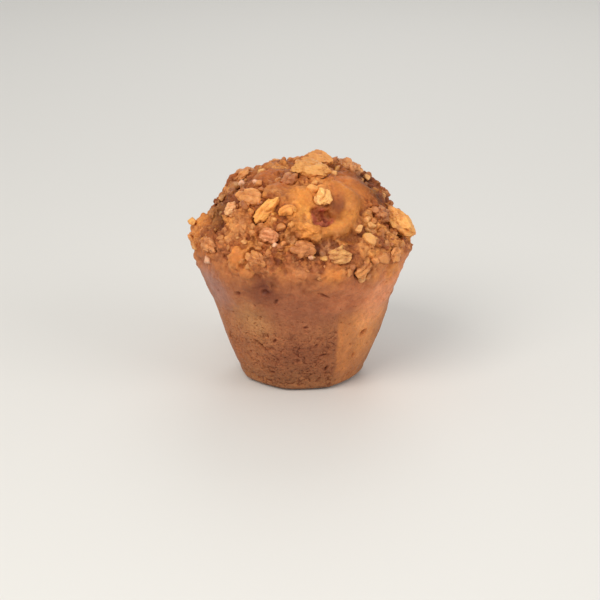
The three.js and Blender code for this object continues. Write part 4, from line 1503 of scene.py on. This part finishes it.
# ---------------------------------------------------------------- materials
class Nodes:
    """A small hand for node trees."""

    def __init__(self, name):
        self.mat = bpy.data.materials.new(name)
        self.mat.use_nodes = True
        self.t = self.mat.node_tree
        self.t.nodes.clear()
        self.out = self.t.nodes.new("ShaderNodeOutputMaterial")
        self.bsdf = self.t.nodes.new("ShaderNodeBsdfPrincipled")
        self.t.links.new(self.bsdf.outputs[0], self.out.inputs[0])
        self.coord = self.t.nodes.new("ShaderNodeTexCoord").outputs["Object"]

    def node(self, kind, **values):
        n = self.t.nodes.new(kind)
        for k, v in values.items():
            setattr(n, k, v)
        return n

    def link(self, a, b):
        self.t.links.new(a, b)

    def attr(self, name, out="Fac"):
        n = self.node("ShaderNodeAttribute", attribute_name=name)
        return n.outputs[out]

    def noise(self, scale, detail=3, rough=0.55, distort=0.0, vector=None):
        n = self.node("ShaderNodeTexNoise")
        n.inputs["Scale"].default_value = scale
        n.inputs["Detail"].default_value = detail
        n.inputs["Roughness"].default_value = rough
        n.inputs["Distortion"].default_value = distort
        self.link(vector or self.coord, n.inputs["Vector"])
        return n.outputs["Fac"]

    def voronoi(self, scale, feature="F1", rand=1.0, vector=None):
        n = self.node("ShaderNodeTexVoronoi", feature=feature)
        n.inputs["Scale"].default_value = scale
        n.inputs["Randomness"].default_value = rand
        self.link(vector or self.coord, n.inputs["Vector"])
        return n.outputs["Distance"]

    def remap(self, value, a, b, c=0.0, d=1.0, soft=True):
        n = self.node("ShaderNodeMapRange", clamp=True)
        if soft:
            n.interpolation_type = "SMOOTHSTEP"
        n.inputs[1].default_value = a
        n.inputs[2].default_value = b
        n.inputs[3].default_value = c
        n.inputs[4].default_value = d
        self.link(value, n.inputs[0])
        return n.outputs[0]

    def math(self, op, a, b=None):
        n = self.node("ShaderNodeMath", operation=op)
        for k, x in enumerate((a, b)):
            if x is None:
                continue
            if isinstance(x, (int, float)):
                n.inputs[k].default_value = x
            else:
                self.link(x, n.inputs[k])
        return n.outputs[0]

    def mix(self, fac, a, b, blend="MIX"):
        n = self.node("ShaderNodeMix", data_type="RGBA", blend_type=blend)
        for k, x in ((0, fac), (6, a), (7, b)):
            if isinstance(x, (int, float)):
                n.inputs[k].default_value = x
            elif isinstance(x, tuple):
                n.inputs[k].default_value = (*x, 1)
            else:
                self.link(x, n.inputs[k])
        return n.outputs[2]

    def bump(self, height, strength, distance, normal=None):
        n = self.node("ShaderNodeBump")
        n.inputs["Strength"].default_value = strength
        n.inputs["Distance"].default_value = distance
        self.link(height, n.inputs["Height"])
        if normal is not None:
            self.link(normal, n.inputs["Normal"])
        return n.outputs[0]


def crust_material():
    k = Nodes("baked_crust")
    tint = k.attr("tint", "Color")
    cav, deep, pore, crack = k.attr("cav"), k.attr("deep"), k.attr("pore"), k.attr("crack")
    caramel, base, patch = k.attr("caramel"), k.attr("base"), k.attr("patch")
    # mottling over about 7 mm and 2 mm
    broad = k.remap(k.noise(150, 3, 0.55, 0.4), 0.38, 0.64)
    tight = k.remap(k.noise(520, 4, 0.6, 0.2), 0.34, 0.68)
    c = k.mix(k.math("MULTIPLY", broad, 0.30), tint, (1.16, 1.14, 1.08), "MULTIPLY")
    c = k.mix(k.math("MULTIPLY", k.math("SUBTRACT", 1.0, broad), 0.40), c, (0.78, 0.70, 0.64), "MULTIPLY")
    c = k.mix(k.math("MULTIPLY", k.math("SUBTRACT", 1.0, tight), 0.34), c, (0.76, 0.66, 0.58), "MULTIPLY")
    c = k.mix(k.math("MULTIPLY", tight, 0.24), c, (1.18, 1.15, 1.08), "MULTIPLY")
    # crumbs of about 1.5 mm and 0.8 mm, each browned differently, with painted shade darkening the sunk joints
    # between them
    bent = k.node("ShaderNodeVectorMath", operation="ADD")
    k.link(k.coord, bent.inputs[0])
    shift = k.node("ShaderNodeVectorMath", operation="SCALE")
    turb = k.node("ShaderNodeTexNoise")
    turb.inputs["Scale"].default_value = 900
    turb.inputs["Detail"].default_value = 2
    k.link(k.coord, turb.inputs["Vector"])
    k.link(turb.outputs["Color"], shift.inputs[0])
    shift.inputs["Scale"].default_value = 0.0011
    k.link(shift.outputs[0], bent.inputs[1])
    loose = k.attr("rough")
    crumbs = 0
    for scale, share in ((620, 0.9), (1150, 0.7)):
        cell = k.node("ShaderNodeTexVoronoi")
        cell.inputs["Scale"].default_value = scale
        k.link(bent.outputs[0], cell.inputs["Vector"])
        grey = k.node("ShaderNodeSeparateColor")
        k.link(cell.outputs["Color"], grey.inputs[0])
        pale = k.math("MULTIPLY", k.remap(grey.outputs[0], 0.62, 0.95), loose)
        dark = k.math("MULTIPLY", k.remap(grey.outputs[1], 0.55, 0.95), loose)
        c = k.mix(k.math("MULTIPLY", pale, 0.60 * share), c, (1.36, 1.34, 1.22), "MULTIPLY")
        c = k.mix(k.math("MULTIPLY", dark, 0.55 * share), c, (0.66, 0.54, 0.46), "MULTIPLY")
        joint = k.math("MULTIPLY", k.remap(cell.outputs["Distance"], 0.42, 0.66), loose)
        c = k.mix(k.math("MULTIPLY", joint, 0.40 * share), c, (0.62, 0.48, 0.40), "MULTIPLY")
        crumbs = k.math("ADD", crumbs, k.math("MULTIPLY", cell.outputs["Distance"], k.math("MULTIPLY", loose, -1.6 * share)))
    # painted shade and highlight: sunk places are darkened to red-brown and proud ones lightened to gold, partly the
    # crust's own browning and partly painted shade and painted highlight; hollows, cracks, pores and tears are
    # darkened as painted shade
    low = k.remap(deep, 0.05, -0.75)
    high = k.remap(deep, 0.0, 0.8)
    c = k.mix(k.math("MULTIPLY", low, 0.50), c, (0.66, 0.48, 0.40), "MULTIPLY")
    c = k.mix(k.math("MULTIPLY", high, 0.36), c, (1.26, 1.20, 1.06), "MULTIPLY")
    c = k.mix(k.math("MULTIPLY", k.remap(cav, -0.05, -0.7), 0.42), c, (0.60, 0.44, 0.36), "MULTIPLY")
    c = k.mix(k.math("MULTIPLY", crack, 0.34), c, (0.66, 0.48, 0.38), "MULTIPLY")
    c = k.mix(k.math("MULTIPLY", pore, 0.6), c, (0.72, 0.50, 0.40), "MULTIPLY")
    # pin pores of the sponge, darkened as painted shade in their pits, and the pale walls between them
    sponge = k.math("ADD", k.math("MULTIPLY", base, 0.25), k.math("MULTIPLY", patch, 0.75))
    pin = k.remap(k.voronoi(780), 0.14, 0.44, 1.0, 0.0)
    pin = k.math("MULTIPLY", pin, k.remap(k.noise(430, 2), 0.42, 0.56))
    pin2 = k.remap(k.voronoi(1450), 0.14, 0.44, 1.0, 0.0)
    pin2 = k.math("MULTIPLY", pin2, k.remap(k.noise(700, 2), 0.44, 0.58))
    pin = k.math("MULTIPLY", k.math("MAXIMUM", pin, pin2), sponge)
    c = k.mix(k.math("MULTIPLY", pin, 0.66), c, (0.66, 0.47, 0.38), "MULTIPLY")
    wall = k.math("MULTIPLY", k.remap(k.noise(950, 3, 0.6), 0.52, 0.70), sponge)
    c = k.mix(k.math("MULTIPLY", wall, 0.55), c, (1.40, 1.34, 1.24), "MULTIPLY")
    # bubbles in the base: a painted highlight on each raised rim and painted shade in its hollow middle
    bub = k.voronoi(430)
    ring = k.math("MULTIPLY", k.remap(bub, 0.16, 0.26), k.remap(bub, 0.26, 0.38, 1.0, 0.0))
    some = k.math("MULTIPLY", k.remap(k.noise(190, 2), 0.48, 0.60), base)
    c = k.mix(k.math("MULTIPLY", k.math("MULTIPLY", ring, some), 0.45), c, (1.30, 1.24, 1.14), "MULTIPLY")
    c = k.mix(k.math("MULTIPLY", k.math("MULTIPLY", k.remap(bub, 0.10, 0.20, 1.0, 0.0), some), 0.45), c, (0.74, 0.58, 0.48), "MULTIPLY")
    speck = k.math("MULTIPLY", k.remap(k.noise(1250, 2, 0.6), 0.56, 0.68), base)
    c = k.mix(k.math("MULTIPLY", speck, 0.42), c, (0.72, 0.56, 0.46), "MULTIPLY")
    # collar: soft dark and pink mottling
    collar = k.math("SUBTRACT", 1.0, k.math("MAXIMUM", base, k.math("MINIMUM", k.math("MULTIPLY", k.attr("rough"), 2.0), 1.0)))
    cloud = k.remap(k.noise(260, 4, 0.65, 0.6), 0.40, 0.66)
    c = k.mix(k.math("MULTIPLY", k.math("MULTIPLY", collar, cloud), 0.62), c, (0.80, 0.66, 0.58), "MULTIPLY")
    haze = k.remap(k.noise(330, 4, 0.65, 0.5), 0.52, 0.70)
    c = k.mix(k.math("MULTIPLY", k.math("MULTIPLY", collar, haze), 0.5), c, (1.22, 1.20, 1.20), "MULTIPLY")
    sides = k.math("SUBTRACT", 1.0, k.math("MINIMUM", k.math("MULTIPLY", k.attr("rough"), 2.0), 1.0))
    spot = k.math("MULTIPLY", k.remap(k.noise(290, 5, 0.7, 0.9), 0.47, 0.62), sides)
    c = k.mix(k.math("MULTIPLY", spot, 0.5), c, (0.78, 0.70, 0.66), "MULTIPLY")
    blush = k.math("MULTIPLY", k.remap(k.noise(240, 5, 0.7, 0.9), 0.55, 0.42), sides)
    c = k.mix(k.math("MULTIPLY", blush, 0.38), c, (1.22, 1.20, 1.18), "MULTIPLY")
    streak = k.math("MULTIPLY", k.remap(k.noise(520, 3, 0.6, 1.2), 0.56, 0.66), collar)
    c = k.mix(k.math("MULTIPLY", streak, 0.45), c, (0.76, 0.60, 0.50), "MULTIPLY")
    k.link(c, k.bsdf.inputs["Base Color"])
    rough = k.math("ADD", k.math("MULTIPLY", tight, 0.16), 0.50)
    rough = k.math("SUBTRACT", rough, k.math("MULTIPLY", caramel, 0.03))
    k.link(rough, k.bsdf.inputs["Roughness"])
    grain = k.noise(1500, 4, 0.62)
    cells_ = k.voronoi(1150)
    h = k.math("ADD", k.math("MULTIPLY", grain, 0.7), k.math("MULTIPLY", cells_, 0.35))
    h = k.math("SUBTRACT", h, k.math("MULTIPLY", pin, 0.9))
    h = k.math("ADD", h, k.math("MULTIPLY", k.noise(620, 3), 0.8))
    h = k.math("ADD", h, crumbs)
    h = k.math("ADD", h, k.math("MULTIPLY", k.math("MULTIPLY", ring, some), 0.8))
    h = k.math("SUBTRACT", h, k.math("MULTIPLY", speck, 0.5))
    k.link(k.bump(h, 0.65, 0.0003), k.bsdf.inputs["Normal"])
    k.bsdf.inputs["Subsurface Weight"].default_value = 0.16
    k.bsdf.inputs["Subsurface Radius"].default_value = (1.0, 0.45, 0.2)
    k.bsdf.inputs["Subsurface Scale"].default_value = 0.0016
    k.bsdf.inputs["Specular IOR Level"].default_value = 0.27
    return k.mat


def walnut_material():
    k = Nodes("toasted_walnut")
    tint = k.attr("tint", "Color")
    cav, broken = k.attr("cav"), k.attr("broken")
    broad = k.remap(k.noise(330, 3, 0.55, 0.3), 0.38, 0.64)
    tight = k.remap(k.noise(1100, 3, 0.6), 0.34, 0.68)
    c = k.mix(k.math("MULTIPLY", k.math("SUBTRACT", 1.0, broad), 0.4), tint, (0.80, 0.68, 0.58), "MULTIPLY")
    c = k.mix(k.math("MULTIPLY", tight, 0.28), c, (1.14, 1.11, 1.04), "MULTIPLY")
    # painted shade darkens the kernel's hollows and a painted highlight lightens its ridges
    c = k.mix(k.math("MULTIPLY", k.remap(cav, 0.0, -0.9), 0.56), c, (0.64, 0.45, 0.32), "MULTIPLY")
    c = k.mix(k.math("MULTIPLY", k.remap(cav, 0.1, 0.9), 0.35), c, (1.16, 1.14, 1.10), "MULTIPLY")
    # the thin skin is streaked along its veins
    vein = k.math("MULTIPLY", k.remap(k.noise(260, 4, 0.7, 1.6), 0.50, 0.62), k.math("SUBTRACT", 1.0, broken))
    c = k.mix(k.math("MULTIPLY", vein, 0.35), c, (0.72, 0.56, 0.44), "MULTIPLY")
    k.link(c, k.bsdf.inputs["Base Color"])
    k.link(k.remap(k.noise(700, 2), 0.3, 0.7, 0.42, 0.60), k.bsdf.inputs["Roughness"])
    h = k.math("ADD", k.math("MULTIPLY", k.noise(1900, 3, 0.6), 0.6), k.math("MULTIPLY", k.noise(760, 3), 0.7))
    k.link(k.bump(h, 0.5, 0.00026), k.bsdf.inputs["Normal"])
    k.bsdf.inputs["Subsurface Weight"].default_value = 0.2
    k.bsdf.inputs["Subsurface Radius"].default_value = (1.0, 0.55, 0.25)
    k.bsdf.inputs["Subsurface Scale"].default_value = 0.0014
    k.bsdf.inputs["Specular IOR Level"].default_value = 0.45
    return k.mat


def drop_slivers(ob):
    """Remove the loose slivers that decimation leaves beside the one closed skin."""
    bm = bmesh.new()
    bm.from_mesh(ob.data)
    seen, parts = set(), []
    for start in bm.verts:
        if start in seen:
            continue
        seen.add(start)
        part, stack = [], [start]
        while stack:
            w = stack.pop()
            part.append(w)
            for e in w.link_edges:
                o = e.other_vert(w)
                if o not in seen:
                    seen.add(o)
                    stack.append(o)
        parts.append(part)
    parts.sort(key=len)
    loose = [w for part in parts[:-1] for w in part]
    if loose:
        bmesh.ops.delete(bm, geom=loose, context="VERTS")
        bm.to_mesh(ob.data)
    bm.free()


drop_slivers(skin)
crust = crust_material()
nutty = walnut_material()
skin.data.materials.clear()
skin.data.materials.append(crust)
for ob in walnut_objects + [bits, bits2]:
    ob.data.materials.clear()
    ob.data.materials.append(nutty)

# ---------------------------------------------------------------- floor, light, camera
floor = new_object(
    "floor",
    np.array([[-3, -3, 0], [3, -3, 0], [3, 3, 0], [-3, 3, 0]]) * 1.0 - np.array([0, 0, 0.0002]),
    [[0, 1, 2, 3]],
    False,
)
fm = Nodes("pale_floor")
fm.bsdf.inputs["Base Color"].default_value = (0.74, 0.74, 0.73, 1)
fm.bsdf.inputs["Roughness"].default_value = 0.6
floor.data.materials.append(fm.mat)

world = bpy.data.worlds.new("studio")
bpy.context.scene.world = world
world.use_nodes = True
bg = world.node_tree.nodes["Background"]
bg.inputs[0].default_value = (1.0, 0.98, 0.94, 1)
bg.inputs[1].default_value = 0.55


def area(name, place, target, size, power, colour):
    light = bpy.data.lights.new(name, "AREA")
    light.shape = "SQUARE"
    light.size = size
    light.energy = power
    light.color = colour
    ob = bpy.data.objects.new(name, light)
    bpy.context.scene.collection.objects.link(ob)
    ob.location = place
    ob.rotation_euler = (Vector(target) - Vector(place)).to_track_quat("-Z", "Y").to_euler()
    return ob


area("key", (-0.42, -0.62, 0.74), (0, 0, 0.05), 0.58, 6.3, (1.0, 0.95, 0.87))
area("fill", (0.7, -0.40, 0.40), (0, 0, 0.04), 0.5, 2.0, (1.0, 0.97, 0.93))
area("back", (0.1, 0.7, 0.6), (0, 0, 0.06), 0.5, 1.2, (1.0, 0.98, 0.95))

cam = bpy.data.cameras.new("camera")
cam_ob = bpy.data.objects.new("camera", cam)
bpy.context.scene.collection.objects.link(cam_ob)
bpy.context.scene.camera = cam_ob
ELEV = 19 * RAD
AIM = Vector((0, 0, 0.041))
BACK = Vector((0, -math.cos(ELEV), math.sin(ELEV)))
cam_ob.location = AIM + BACK * 0.7
cam_ob.rotation_mode = "QUATERNION"
cam_ob.rotation_quaternion = (-BACK).to_track_quat("-Z", "Y")
cam.sensor_width = 36
cam.lens = 2.61 * 700 / 600 * 36
cam.shift_x = -1 / 600
cam.shift_y = -31 / 600
cam.clip_start, cam.clip_end = 0.01, 20

scene = bpy.context.scene
scene.view_settings.view_transform = "Standard"
scene.view_settings.look = "None"
scene.view_settings.exposure = 0
scene.view_settings.gamma = 1
